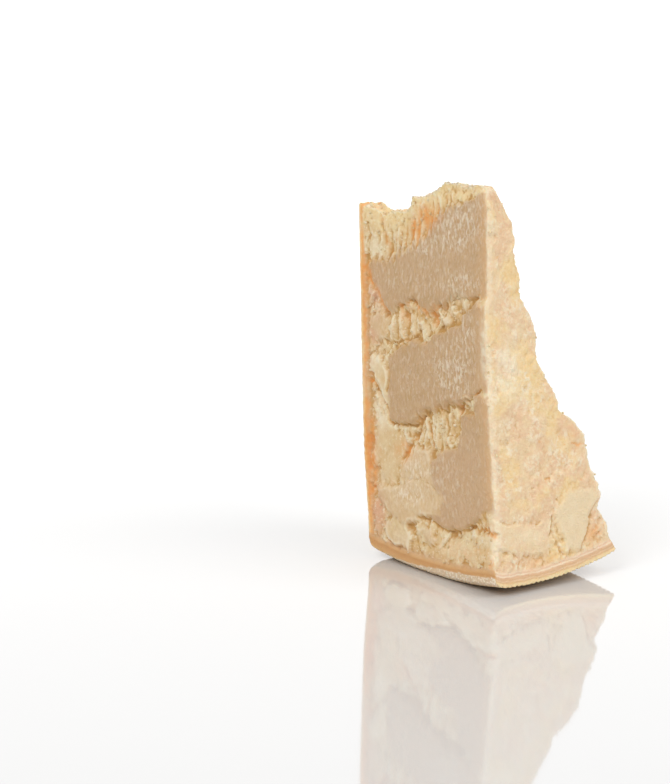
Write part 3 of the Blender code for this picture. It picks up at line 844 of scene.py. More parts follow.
@dataclass(frozen=True)
class CheeseBody:
    """The whole wedge as one closed mesh, finely gridded and then thinned where it is smooth."""

    wheel: Wheel
    cells_around: int = 110
    cells_axial: int = 160
    cells_inward: int = 310
    worn_depth: float = 0.9
    settled_height: float = 1.4
    settle_end: float = 6.0
    settle_margin: float = 0.22
    inner_margin: float = 0.15
    edge_rounds: int = 5
    hollow_scales: tuple[tuple[int, float], ...] = ((10, 0.45), (70, 1.5))
    most_triangles: int = 195000

    def build(self) -> bpy.types.Object:
        """Model the wedge.

        Returns:
            The finished object, at the origin, with its surface shares as attributes.
        """
        cube = self._gridded_cube()
        steps = np.array([vertex.co[:] for vertex in cube.verts])
        steps = np.rint(steps * (self.cells_around, self.cells_axial, self.cells_inward)).astype(int)
        points, wheel_place, shares = self._shaped(steps)
        for vertex, point in zip(cube.verts, points):
            vertex.co = point
        self._soften_edge(cube, wheel_place)
        bmesh.ops.recalc_face_normals(cube, faces=cube.faces)
        cube.normal_update()
        surface = Surface(np.array([vertex.co[:] for vertex in cube.verts]),
                          np.array([vertex.normal[:] for vertex in cube.verts]), wheel_place, shares)
        surface.points = self._crumbled(surface)
        surface.points = self._inside_box(surface.points)
        edges = np.array([[edge.verts[0].index, edge.verts[1].index] for edge in cube.edges])
        # The hollowness drives the painted shade in cracks and the painted highlight on crests, a quarter
        # weaker on the front and tip
        shares["hollow"] = self._hollowness(surface, edges) * (1.0 - 0.25 * shares["front"])
        mesh = bpy.data.meshes.new("cheese_body")
        cube.to_mesh(mesh)
        cube.free()
        mesh.vertices.foreach_set("co", surface.points.astype(np.float32).ravel())
        self._store(mesh, surface)
        return self._thinned(mesh)

    def _gridded_cube(self) -> bmesh.types.BMesh:
        """A unit cube whose edges are cut into the mesh's cells, with one corner at the origin."""
        cube = bmesh.new()
        bmesh.ops.create_cube(cube, size=1.0, matrix=Matrix.Translation((0.5, 0.5, 0.5)))
        for direction, cells in enumerate((self.cells_around, self.cells_axial, self.cells_inward)):
            edges = [edge for edge in cube.edges
                     if abs(edge.verts[0].co[direction] - edge.verts[1].co[direction]) > 0.5]
            bmesh.ops.subdivide_edges(cube, edges=edges, cuts=cells - 1, use_grid_fill=True)
        cube.verts.index_update()
        return cube

    def _shaped(self, steps: np.ndarray) -> tuple[np.ndarray, np.ndarray, dict[str, np.ndarray]]:
        """Move the grid onto the wedge.

        Args:
            steps: Each vertex's cell counts around, along the axis and inwards.

        Returns:
            The points in metres, their places on the wheel in millimetres and their surface shares.
        """
        wheel = self.wheel
        around = np.linspace(0.0, 1.0, self.cells_around + 1)
        axial = np.linspace(0.0, wheel.half_height, self.cells_axial + 1)
        inward = np.linspace(0.0, wheel.face_length, self.cells_inward + 1)
        axial_by_inward = np.meshgrid(axial, inward, indexing="ij")
        around_by_inward = np.meshgrid(around, inward, indexing="ij")
        around_by_axial = np.meshgrid(around, axial, indexing="ij")
        across = around_by_inward[0] * wheel.rind_chord * (1.0 - around_by_inward[1] / wheel.radius)

        left = LeftFace(wheel).terrain(*axial_by_inward)
        right = RightFace(wheel).terrain(*axial_by_inward)
        front = FrontFace(wheel).terrain(across, around_by_inward[1])
        side = FlatSide(wheel).relief(across, around_by_inward[1])
        outer = OuterRind(wheel)
        rind_places = (around_by_axial[0] * wheel.rind_chord, around_by_axial[1])
        rind = outer.relief(*rind_places)
        dimples = outer.dimples(*rind_places)
        tip_chord = wheel.tip_radius * wheel.wedge_angle
        tip = Tip(wheel).relief(around_by_axial[0] * tip_chord, around_by_axial[1])

        i, j, k = steps.T
        inward_share = k / self.cells_inward
        rind_radius = wheel.radius + rind[i, j]
        radius = rind_radius + (wheel.tip_radius - tip[i, j] - rind_radius) * inward_share
        radius -= dimples[i, j] * np.clip(1.0 - k / 3.0, 0.0, 1.0)
        left_angle = -wheel.wedge_angle / 2 - left.relief[j, k] / radius
        right_angle = wheel.wedge_angle / 2 + right.relief[j, k] / radius
        angle = left_angle + (right_angle - left_angle) * around[i]
        front_place = -front.relief[i, k]
        side_place = wheel.half_height + side[i, k]
        along = front_place + (side_place - front_place) * j / self.cells_axial
        places = np.stack((radius * np.sin(angle), along, -radius * np.cos(angle)), axis=1)
        points = self._standing(places @ wheel.tipping().T, i, j, k)
        wheel_place = np.stack((axial[j], inward[k], across[i, k]), axis=1)
        return points, wheel_place, self._surface_shares(left, right, front, i, j, k)

    def _surface_shares(self, left: Terrain, right: Terrain, front: Terrain, i: np.ndarray,
                        j: np.ndarray, k: np.ndarray) -> dict[str, np.ndarray]:
        """What each vertex's surface is like, from the face that it lies on."""
        on_left = i == 0
        on_right = i == self.cells_around
        on_front = (j == 0) & ~on_left & ~on_right
        on_tip = (k == self.cells_inward) & ~on_left & ~on_right & ~on_front
        on_skin = ((k == 0) | (j == self.cells_axial)) & ~on_left & ~on_right & ~on_front & ~on_tip
        shares = {}
        for name in ("knife", "flake", "crumb", "fleck", "warm", "blush"):
            value = np.where(on_left, getattr(left, name)[j, k], 0.0)
            value = np.where(on_right, getattr(right, name)[j, k], value)
            value = np.where(on_front, getattr(front, name)[i, k], value)
            shares[name] = value
        shares["crumb"] = np.where(on_tip, 1.0, shares["crumb"])
        shares["warm"] = np.where(on_tip, 0.1, shares["warm"])
        shares["front"] = (on_front | on_tip).astype(float)
        axial = j * self.wheel.half_height / self.cells_axial
        inward = k * self.wheel.face_length / self.cells_inward
        dusty = on_left & (inward < LeftFace.dusty_width(axial))
        shares["skin"] = (on_skin | dusty).astype(float)
        shares["outer"] = ((on_skin & (k == 0)) | dusty).astype(float)
        shares["dusty"] = dusty.astype(float)
        return shares

    def _standing(self, places: np.ndarray, i: np.ndarray, j: np.ndarray, k: np.ndarray) -> np.ndarray:
        """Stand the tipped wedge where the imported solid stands, settled on its rind, in metres."""
        around = i / self.cells_around
        axial = j / self.cells_axial
        heights = places[:, 2] - places[:, 2].min() - self.worn_depth
        margin = np.ones(heights.shape)
        for share in (around, 1.0 - around, axial, 1.0 - axial):
            margin *= ease(0.0, self.settle_margin, share)
        rising = (heights - self.settled_height) * self.settle_end / (self.settle_end - self.settled_height)
        settled = blend(heights, np.minimum(heights, rising), margin)
        places[:, 2] = np.maximum(np.where(k > 0, heights, settled), 0.0)
        low, high = (np.array(corner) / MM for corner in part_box(NODE_NAME))
        middle = (places.min(axis=0) + places.max(axis=0)) / 2
        places[:, :2] += (low + high)[:2] / 2 - middle[:2]
        return places * MM

    def _soften_edge(self, cube: bmesh.types.BMesh, wheel_place: np.ndarray) -> None:
        """Round the front edge, which the knife left smooth, without touching its crumbly breaks."""
        near = (wheel_place[:, 0] < 2.4) & (wheel_place[:, 2] < 2.6) & (wheel_place[:, 1] > 30.0)
        edge = [vertex for vertex, keep in zip(cube.verts, near) if keep]
        for _ in range(self.edge_rounds):
            bmesh.ops.smooth_vert(cube, verts=edge, factor=0.5, use_axis_x=True, use_axis_y=True,
                                  use_axis_z=True)

    def _crumbled(self, surface: Surface) -> np.ndarray:
        """Push the points out and in along their normals by a fine crumb."""
        def grain(x: float, y: float, z: float) -> tuple[float, float]:
            coarse = noise.voronoi(Vector((x, y, z)) * 380.0)[0][0]
            fine = noise.noise(Vector((x, y, z)) * 1100.0)
            return 0.5 - coarse, fine
        coarse, fine = np.vectorize(grain, otypes=[float, float])(*surface.points.T)
        crumb = surface.shares["crumb"]
        front = surface.shares["front"]
        depth = (0.22 * crumb + 0.08 * front) * coarse + (0.12 * crumb + 0.07 * front + 0.03) * fine
        depth = np.where(surface.points[:, 2] > 0.0, depth, 0.0)
        return surface.points + surface.normals * depth[:, None] * MM

    def _inside_box(self, points: np.ndarray) -> np.ndarray:
        """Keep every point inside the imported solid's box."""
        low, high = (np.array(corner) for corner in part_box(NODE_NAME))
        keep = self.inner_margin * MM
        low = low + (keep, keep, 0.0)
        return np.clip(points, low, high - keep)

    def _hollowness(self, surface: Surface, edges: np.ndarray) -> np.ndarray:
        """How deep each point lies below its surroundings, near and wide: 1 in cracks, -1 on crests. The
        paste's painted shade and painted highlight are read from it.
        """
        count = len(surface.points)
        ends = np.concatenate((edges[:, 0], edges[:, 1]))
        others = np.concatenate((edges[:, 1], edges[:, 0]))
        neighbours = np.bincount(ends, minlength=count)
        smooth = surface.points.copy()
        hollow = np.zeros(count)
        done = 0
        for rounds, depth in self.hollow_scales:
            for _ in range(rounds - done):
                total = [np.bincount(ends, smooth[others, axis], count) for axis in range(3)]
                smooth = 0.4 * smooth + 0.6 * np.stack(total, axis=1) / neighbours[:, None]
            done = rounds
            hollow += 0.7 * ((smooth - surface.points) * surface.normals).sum(axis=1) / (MM * depth)
        return np.clip(hollow, -1.0, 1.0)

    @staticmethod
    def _store(mesh: bpy.types.Mesh, surface: Surface) -> None:
        """Write the surface shares and the places on the wheel as attributes of the mesh."""
        for name, values in surface.shares.items():
            store(mesh, name, values)
        attribute = mesh.attributes.new("wheel_place", "FLOAT_VECTOR", "POINT")
        attribute.data.foreach_set("vector", surface.wheel_place.astype(np.float32).ravel())

    def _thinned(self, mesh: bpy.types.Mesh) -> bpy.types.Object:
        """Collapse cells where the surface is smooth, so that the mesh keeps under its triangle limit."""
        rough = in_scene("cheese_grid", mesh)
        thinning = rough.modifiers.new("thinning", "DECIMATE")
        thinning.ratio = min(1.0, self.most_triangles / triangles_of(mesh))
        thinning.use_collapse_triangulate = True
        graph = bpy.context.evaluated_depsgraph_get()
        finished = bpy.data.meshes.new_from_object(rough.evaluated_get(graph))
        finished.name = "cheese_body"
        for vertex in finished.vertices:
            vertex.co.z = max(vertex.co.z, 0.0)
        bpy.data.objects.remove(rough, do_unlink=True)
        bpy.data.meshes.remove(mesh)
        finished.shade_smooth()
        return in_scene("cheese_body", finished)


@dataclass(frozen=True)
class Crumbs:
    """Small broken bits that cling to the craggy ground, all in one mesh."""

    count: int = 800
    smallest: float = 0.25
    largest: float = 1.0
    skew: float = 2.6
    barest: float = 0.35
    lowest: float = 0.004
    standing_out: float = 0.30
    box_margin: float = 0.0002
    seed: int = 7

    def build(self, body: bpy.types.Object) -> bpy.types.Object:
        """Scatter crumbs over the body's crumbly ground.

        Args:
            body: The finished wedge, with its surface shares.

        Returns:
            The crumbs as one object at the origin.
        """
        mesh = body.data
        points = rows_of(mesh.vertices, "co", 3)
        normals = rows_of(mesh.vertex_normals, "vector", 3)
        crumb, warm = (rows_of(mesh.attributes[name].data, "value", 1)[:, 0] for name in ("crumb", "warm"))
        random = np.random.default_rng(self.seed)
        weight = np.clip(crumb - self.barest, 0.0, None) * (points[:, 2] > self.lowest)
        chosen = random.choice(len(points), self.count, replace=False, p=weight / weight.sum())
        sizes = self.smallest + (self.largest - self.smallest) * random.random(self.count) ** self.skew
        bit = self._bit()
        corners = np.array([vertex.co[:] for vertex in bit.verts])
        faces = np.array([[vertex.index for vertex in face.verts] for face in bit.faces])
        bit.free()
        turns = np.linalg.qr(random.normal(size=(self.count, 3, 3)))[0]
        stretch = random.uniform(0.6, 1.3, (self.count, 1, 3))
        jitter = random.uniform(0.75, 1.25, (self.count, len(corners), 1))
        shapes = np.einsum("nvi,nij->nvj", corners[None] * jitter * stretch, turns)
        centres = points[chosen] + normals[chosen] * (sizes * self.standing_out * MM)[:, None]
        placed = centres[:, None] + shapes * (sizes * MM)[:, None, None]
        low, high = (np.array(corner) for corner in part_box(NODE_NAME))
        placed = np.clip(placed, low + self.box_margin, high - self.box_margin)
        mesh = bpy.data.meshes.new("cheese_crumbs")
        indices = faces[None] + np.arange(self.count)[:, None, None] * len(corners)
        mesh.from_pydata(placed.reshape(-1, 3).tolist(), [], indices.reshape(-1, 3).tolist())
        store(mesh, "tone", np.repeat(random.random(self.count), len(corners)))
        store(mesh, "warm", np.repeat(warm[chosen], len(corners)))
        return in_scene("cheese_crumbs", mesh)

    @staticmethod
    def _bit() -> bmesh.types.BMesh:
        """One crumb of unit radius, as a low round solid."""
        bit = bmesh.new()
        bmesh.ops.create_icosphere(bit, subdivisions=1, radius=1.0)
        bit.verts.index_update()
        return bit


Colour = tuple[float, float, float]
Socket = bpy.types.NodeSocket


class NodeBoard:
    """A material's node tree with short calls for the nodes that the finishes use."""

    def __init__(self, name: str) -> None:
        """Start a material with its Principled shader and the place on the object in metres."""
        self.material = bpy.data.materials.new(name)
        self.material.use_nodes = True
        self.nodes = self.material.node_tree.nodes
        self.links = self.material.node_tree.links
        self.shader = self.nodes["Principled BSDF"]
        self.place = self.nodes.new("ShaderNodeTexCoord").outputs["Object"]

    def _plug(self, socket: Socket, value: object) -> None:
        """Link a socket to another, or set its value. A colour is opaque."""
        if isinstance(value, Socket):
            self.links.new(value, socket)
        elif socket.type == "RGBA":
            socket.default_value = (*value, 1.0)
        else:
            socket.default_value = value

    def set(self, name: str, value: object) -> None:
        """Give one of the shader's inputs a value or a link."""
        self._plug(self.shader.inputs[name], value)

    def glow(self, weight: float, radius: tuple[float, float, float], reach: float) -> None:
        """Let light sink in: how much of it, how far each colour goes, and the reach in metres."""
        self.set("Subsurface Weight", weight)
        self.set("Subsurface Radius", radius)
        self.set("Subsurface Scale", reach)

    def _node(self, kind: str, **inputs: object) -> bpy.types.Node:
        """A new node with its inputs given by their names, with _ for a space."""
        node = self.nodes.new(f"ShaderNode{kind}")
        for name, value in inputs.items():
            self._plug(node.inputs[name.replace("_", " ")], value)
        return node

    def share(self, name: str, output: str = "Fac") -> Socket:
        """Value of a surface share stored on the mesh, or its vector."""
        node = self._node("Attribute")
        node.attribute_name = name
        return node.outputs[output]

    def stretched(self, vector: Socket, scale: tuple[float, float, float]) -> Socket:
        """A place scaled along each axis."""
        return self._node("Mapping", Vector=vector, Scale=scale).outputs["Vector"]

    def noise(self, vector: Socket, scale: float, detail: float = 3.0, roughness: float = 0.5) -> Socket:
        """Cloudy noise at a place, from 0 to 1."""
        node = self._node("TexNoise", Vector=vector, Scale=scale, Detail=detail, Roughness=roughness)
        return node.outputs["Fac"]

    def cells(self, vector: Socket, scale: float) -> Socket:
        """Distance to the nearest of scattered points."""
        return self._node("TexVoronoi", Vector=vector, Scale=scale).outputs["Distance"]

    def rise(self, value: Socket, low: float, high: float, start: float = 0.0, end: float = 1.0) -> Socket:
        """Smooth rise from start at low to end at high."""
        node = self._node("MapRange", Value=value, From_Min=low, From_Max=high, To_Min=start, To_Max=end)
        node.interpolation_type = "SMOOTHSTEP"
        return node.outputs["Result"]

    def math(self, operation: str, first: object, second: object) -> Socket:
        """Sum, product or other sum of two values."""
        node = self.nodes.new("ShaderNodeMath")
        node.operation = operation
        self._plug(node.inputs[0], first)
        self._plug(node.inputs[1], second)
        return node.outputs[0]

    def times(self, first: object, second: object) -> Socket:
        """Product of two values."""
        return self.math("MULTIPLY", first, second)

    def patches(self, kind: tuple[float, float, float], low: float, high: float, start: float = 0.0,
                end: float = 1.0, at: Socket | None = None) -> Socket:
        """Patches of noise: its scale, detail and roughness, then how it rises from start to end."""
        return self.rise(self.noise(self.place if at is None else at, *kind), low, high, start, end)

    def ragged(self, value: Socket, cloud: Socket, amount: float) -> Socket:
        """A distance made uneven by an amount of a cloud."""
        return self.math("ADD", value, self.times(cloud, amount))

    def mix(self, amount: object, first: object, second: object) -> Socket:
        """Mix of two colours by an amount."""
        node = self.nodes.new("ShaderNodeMix")
        node.data_type = "RGBA"
        self._plug(node.inputs[0], amount)
        self._plug(node.inputs[6], first)
        self._plug(node.inputs[7], second)
        return node.outputs[2]

    def parts(self, vector: Socket) -> tuple[Socket, ...]:
        """The three numbers of a vector."""
        return tuple(self._node("SeparateXYZ", Vector=vector).outputs)

    def strata(self, depth: Socket, layers: tuple[tuple[float, Colour], ...]) -> Socket:
        """Colours of layers at a depth: each layer's depth and colour, in order."""
        deepest = layers[-1][0]
        node = self.nodes.new("ShaderNodeValToRGB")
        self.links.new(self.math("DIVIDE", depth, deepest), node.inputs["Fac"])
        stops = node.color_ramp.elements
        while len(stops) < len(layers):
            stops.new(1.0)
        for stop, (layer_depth, colour) in zip(stops, layers):
            stop.position = layer_depth / deepest
            stop.color = (*colour, 1.0)
        return node.outputs["Color"]

    def bump(self, height: Socket, distance: float, under: Socket | None = None) -> Socket:
        """Normal bent by a height of so many metres."""
        node = self._node("Bump", Height=height, Distance=distance)
        if under is not None:
            self.links.new(under, node.inputs["Normal"])
        return node.outputs["Normal"]


class PasteBoard(NodeBoard):
    """The paste's node tree, with the places and shares that its finishes read again and again."""

    def __init__(self, name: str) -> None:
        """Start the material with its places on the wheel and its shares."""
        super().__init__(name)
        self.wheel_place = self.share("wheel_place", "Vector")
        self.axial, self.inward, self.across = self.parts(self.wheel_place)
        self.knife = self.share("knife")
        self.front = self.share("front")
        self.hollow = self.share("hollow")
        self.warm = self.share("warm")
        self.blush = self.share("blush")


@dataclass(frozen=True)
class PasteFinish:
    """Aged cheese and its rind: how the colour changes with the cut, the depth and the rind, with painted
    shade in the hollows of the relief and painted highlight on its raised parts.
    """

    crumb_pale: Colour = (0.84, 0.67, 0.41)
    crumb_deep: Colour = (0.76, 0.53, 0.265)
    # Painted glow of light shining through the thin tip
    glow: Colour = (0.93, 0.72, 0.38)
    front_pale: Colour = (0.90, 0.75, 0.51)
    front_mid: Colour = (0.84, 0.63, 0.385)
    front_pink: Colour = (0.82, 0.57, 0.355)
    front_gold: Colour = (0.88, 0.65, 0.33)
    dot: Colour = (0.80, 0.45, 0.17)
    knife_tan: Colour = (0.67, 0.42, 0.215)
    knife_light: Colour = (0.74, 0.50, 0.27)
    knife_gold: Colour = (0.66, 0.42, 0.20)
    knife_low: Colour = (0.76, 0.50, 0.285)
    edge_tan: Colour = (0.79, 0.50, 0.25)
    # White grains, and the painted highlight along the rounded front edge
    white_and_edge_highlight: Colour = (0.90, 0.77, 0.57)
    fleck: Colour = (0.92, 0.77, 0.58)
    flake_tone: Colour = (0.74, 0.535, 0.285)
    flake_pale: Colour = (0.82, 0.63, 0.365)
    front_flake: Colour = (0.83, 0.67, 0.44)
    # Pale specks and patches, and the painted highlight on raised crests
    pale_and_crest_highlight: Colour = (0.95, 0.84, 0.63)
    # Painted shade in cracks and hollows
    crack: Colour = (0.58, 0.31, 0.075)
    orange: Colour = (0.84, 0.36, 0.09)
    blush: Colour = (0.76, 0.44, 0.27)
    side_layers: tuple[tuple[float, Colour], ...] = (
        (0.0, (0.95, 0.69, 0.38)),
        (1.3, (0.93, 0.60, 0.28)),
        (2.2, (0.86, 0.45, 0.165)),
        (3.0, (0.84, 0.45, 0.18)),
        (3.8, (0.80, 0.51, 0.28)),
    )
    foot_layers: tuple[tuple[float, Colour], ...] = (
        (0.0, (0.74, 0.45, 0.20)),
        (3.2, (0.68, 0.37, 0.15)),
        (4.4, (0.63, 0.33, 0.125)),
        (5.4, (0.70, 0.42, 0.19)),
        (6.4, (0.72, 0.46, 0.24)),
        (7.4, (0.76, 0.52, 0.31)),
        (8.4, (0.78, 0.57, 0.36)),
    )
    front_layers: tuple[tuple[float, Colour], ...] = (
        (0.0, (0.92, 0.72, 0.42)),
        (1.6, (0.90, 0.68, 0.39)),
        (2.4, (0.76, 0.50, 0.26)),
        (3.0, (0.84, 0.61, 0.40)),
        (3.5, (0.74, 0.48, 0.27)),
        (4.6, (0.76, 0.50, 0.31)),
        (5.2, (0.90, 0.74, 0.55)),
        (5.8, (0.78, 0.54, 0.36)),
        (6.6, (0.88, 0.70, 0.50)),
        (7.6, (0.84, 0.63, 0.42)),
    )
    skin_gold: Colour = (0.73, 0.48, 0.23)
    skin_pale: Colour = (0.79, 0.57, 0.31)
    # Brown of the flat side's pores, and painted shade in the outer rind's hollows
    pore_brown_and_hollow_shade: Colour = (0.46, 0.26, 0.10)
    outer_gold: Colour = (0.70, 0.48, 0.26)
    outer_pale: Colour = (0.97, 0.84, 0.68)
    subsurface: float = 0.35
    subsurface_reach: float = 0.003
    gloss_ior: float = 1.42

    def material(self) -> bpy.types.Material:
        """Make the material of the wedge."""
        board = PasteBoard("cheese_paste")
        colour = board.mix(board.front, self._broken(board), self._cut(board))
        colour = board.mix(board.share("flake"), colour, self._flaked(board))
        colour = self._crest_highlight_and_crack_shade(board, colour)
        colour = board.mix(board.knife, colour, self._knifed(board))
        for layer in (self._flecked, self._warmed, self._banded, self._orange_patches_and_shade):
            colour = layer(board, colour)
        board.set("Base Color", board.mix(board.share("skin"), colour, self._skinned(board)))
        self._surface(board)
        return board.material

    def _broken(self, board: PasteBoard) -> Socket:
        """Broken ground: pale lumps, deeper hollows and a painted yellow glow of light through the thin
        tip.
        """
        patches = board.patches((90.0, 4.0, 0.6), 0.38, 0.62)
        colour = board.mix(patches, self.crumb_deep, self.crumb_pale)
        # Painted glow: light shining through the thin tip
        colour = board.mix(board.rise(board.inward, 168.0, 182.0, 0.0, 0.7), colour, self.glow)
        specks = board.patches((650.0, 4.0, 0.6), 0.56, 0.66, 0.0, 0.7)
        return board.mix(specks, colour, self.pale_and_crest_highlight)

    def _cut(self, board: PasteBoard) -> Socket:
        """The mid-wheel cut: cream with pale grains and pinkish clouds, whitest along the front edge,
        partly its pale crumbs and partly a painted highlight on the rounded edge.
        """
        clouds = board.patches((110.0, 3.0, 0.55), 0.42, 0.58)
        tall = board.stretched(board.place, (1.0, 1.0, 0.8))
        golden = board.patches((52.0, 3.0, 0.55), 0.48, 0.62, at=tall)
        grains = board.patches((620.0, 4.0, 0.6), 0.44, 0.66)
        clusters = board.patches((95.0, 3.0, 0.55), 0.47, 0.60)
        white = board.times(clusters, board.patches((420.0, 4.0, 0.6), 0.46, 0.60))
        colour = board.mix(clouds, self.front_mid, self.front_pink)
        colour = board.mix(board.times(golden, 0.9), colour, self.front_gold)
        colour = board.mix(board.times(grains, 0.5), colour, self.front_pale)
        colour = board.mix(board.times(white, 0.9), colour, self.white_and_edge_highlight)
        dots = board.patches((330.0, 2.0, 0.5), 0.67, 0.74, 0.0, 0.45)
        colour = board.mix(dots, colour, self.dot)
        # Painted highlight where the rounded front edge catches light, partly also its pale crumbs
        ragged = board.ragged(board.across, board.noise(board.place, 160.0, 4.0, 0.6), 7.0)
        speckled = board.patches((480.0, 4.0, 0.65), 0.36, 0.60, 0.35, 1.0)
        edge = board.times(board.rise(ragged, 9.0, 3.0, 0.0, 0.85), speckled)
        return board.mix(edge, colour, self.white_and_edge_highlight)

    def _flaked(self, board: PasteBoard) -> Socket:
        """Flakes: a smooth even tone, tan beside the knife's panels and pale grey-gold on the front."""
        grains = board.patches((0.35, 4.0, 0.5), 0.35, 0.7, at=board.wheel_place)
        colour = board.mix(grains, self.flake_tone, self.flake_pale)
        return board.mix(board.front, colour, self.front_flake)

    def _knifed(self, board: PasteBoard) -> Socket:
        """Panels pressed by the knife: tan, with drag streaks towards the tip and torn pale flecks, and a
        painted highlight along the rounded front edge.
        """
        streaks = board.noise(board.stretched(board.wheel_place, (1.0, 0.3, 1.0)), 0.8, 5.0, 0.6)
        colour = board.mix(board.rise(streaks, 0.32, 0.7), self.knife_tan, self.knife_light)
        clouds = board.patches((0.11, 3.0, 0.5), 0.45, 0.65, 0.0, 0.7, board.wheel_place)
        colour = board.mix(clouds, colour, self.knife_gold)
        colour = board.mix(board.rise(board.inward, 78.0, 55.0, 0.0, 0.55), colour, self.knife_low)
        ragged = board.ragged(board.axial, board.noise(board.wheel_place, 0.13, 4.0, 0.6), 9.0)
        near_edge = board.times(board.rise(ragged, 14.0, 6.0), board.rise(board.across, 1.0, 0.1))
        colour = board.mix(board.times(near_edge, 0.7), colour, self.edge_tan)
        # Painted highlight where the rounded front edge catches light
        ragged_front_edge = board.ragged(board.axial, board.noise(board.place, 220.0, 4.0, 0.65), 4.0)
        return board.mix(board.rise(ragged_front_edge, 3.0, 1.2, 0.0, 0.45), colour, self.white_and_edge_highlight)

    def _flecked(self, board: PasteBoard, colour: Socket) -> Socket:
        """Pale flecks that the knife tore up, drawn out towards the tip."""
        slim = board.noise(board.stretched(board.wheel_place, (1.0, 0.34, 1.0)), 0.75, 5.0, 0.7)
        flecks = board.times(board.share("fleck"), board.rise(slim, 0.45, 0.55))
        return board.mix(flecks, colour, self.fleck)

    def _crest_highlight_and_crack_shade(self, board: PasteBoard, colour: Socket) -> Socket:
        """Painted highlight on raised crests and painted shade in cracks and hollows."""
        colour = board.mix(board.rise(board.hollow, -0.1, -0.9, 0.0, 0.65), colour, self.pale_and_crest_highlight)
        return board.mix(board.rise(board.hollow, 0.0, 0.85, 0.0, 0.80), colour, self.crack)

    def _warmed(self, board: PasteBoard, colour: Socket) -> Socket:
        """Pale patches, and pink blush speckled with white."""
        patchy = board.patches((170.0, 4.0, 0.6), 0.35, 0.62, 0.25, 1.0)
        blush = board.times(board.blush, board.patches((120.0, 5.0, 0.65), 0.36, 0.58, 0.2, 0.9))
        colour = board.mix(blush, colour, self.blush)
        specks = board.times(board.patches((520.0, 4.0, 0.6), 0.54, 0.66), board.blush)
        colour = board.mix(board.times(specks, 0.7), colour, self.pale_and_crest_highlight)
        pale = board.times(board.rise(board.warm, -0.05, -0.9, 0.0, 0.85), patchy)
        return board.mix(pale, colour, self.pale_and_crest_highlight)

    def _orange_patches_and_shade(self, board: PasteBoard, colour: Socket) -> Socket:
        """Orange patches, in the paste and on the cut rind, and orange painted shade in cracks, ridge gaps
        and hollows, unbroken where they are strongest.
        """
        patchy = board.patches((170.0, 4.0, 0.6), 0.35, 0.62, 0.25, 1.0)
        amount = board.times(board.rise(board.warm, 0.05, 1.0), patchy)
        amount = board.math("MAXIMUM", amount, board.rise(board.warm, 1.1, 2.4))
        return board.mix(board.times(amount, 0.92), colour, self.orange)

    def _banded(self, board: PasteBoard, colour: Socket) -> Socket:
        """The cut rind in its layers, thin and patchy on the flat side, thicker at the foot."""
        uneven = board.times(board.math("SUBTRACT", board.noise(board.place, 130.0, 5.0, 0.6), 0.5), 3.4)
        half_height = Wheel().half_height
        side_gap = board.math("ADD", board.math("SUBTRACT", half_height, board.axial), uneven)
        waver = board.times(uneven, board.rise(board.front, 0.0, 1.0, 0.45, 0.85))
        foot_gap = board.math("ADD", board.inward, waver)
        side = board.patches((75.0, 3.0, 0.5), 0.34, 0.5, 0.6, 1.0)
        side = board.times(board.rise(side_gap, 3.9, 2.4), side)
        colour = board.mix(side, colour, board.strata(side_gap, self.side_layers))
        foot = board.mix(board.front, board.strata(foot_gap, self.foot_layers),
                         board.strata(foot_gap, self.front_layers))
        return board.mix(board.rise(foot_gap, 8.2, 6.2), colour, foot)

    def _skinned(self, board: PasteBoard) -> Socket:
        """The rind's own skin: golden on the flat side, and underneath gold turning brown in its hollows as
        painted shade, with a dusty, dotted worn edge.
        """
        patches = board.patches((45.0, 6.0, 0.7), 0.35, 0.7)
        side = board.mix(patches, self.skin_gold, self.skin_pale)
        drawn = board.stretched(board.place, (1.0, 1.0, 0.25))
        scuffs = board.patches((500.0, 4.0, 0.7), 0.5, 0.7, 0.0, 0.4, drawn)
        side = board.mix(scuffs, side, self.pale_and_crest_highlight)
        pores = board.rise(board.cells(board.place, 420.0), 0.26, 0.10, 0.0, 0.40)
        pores = board.times(pores, board.patches((70.0, 4.0, 0.6), 0.44, 0.62))
        side = board.mix(pores, side, self.pore_brown_and_hollow_shade)
        dots = board.rise(board.cells(board.place, 900.0), 0.55, 0.25, 0.35, 1.0)
        worn = board.math("MAXIMUM", board.share("dusty"), board.rise(board.across, 6.0, 1.0, 0.0, 0.8))
        # Painted shade: the outer rind is brown in its hollows and gold on its raised parts
        under = board.mix(board.rise(board.hollow, 0.5, -0.5), self.pore_brown_and_hollow_shade, self.outer_gold)
        outer = board.mix(board.times(worn, dots), under, self.outer_pale)
        return board.mix(board.share("outer"), side, outer)

    def _surface(self, board: PasteBoard) -> None:
        """Roughness, fine bumps and the soft glow under the surface."""
        grain = board.noise(board.place, 1300.0, 3.0)
        grain = board.times(grain, board.rise(board.knife, 0.0, 1.0, 1.0, 0.25))
        streaks = board.noise(board.stretched(board.wheel_place, (1.0, 0.3, 1.0)), 1.6, 4.0, 0.6)
        drag = board.times(streaks, board.knife)
        normal = board.bump(grain, 0.0005)
        normal = board.bump(drag, 0.0012, normal)
        board.set("Normal", normal)
        board.set("Roughness", board.rise(board.knife, 0.0, 1.0, 0.60, 0.40))
        board.set("IOR", self.gloss_ior)
        board.glow(self.subsurface, (1.0, 0.70, 0.45), self.subsurface_reach)


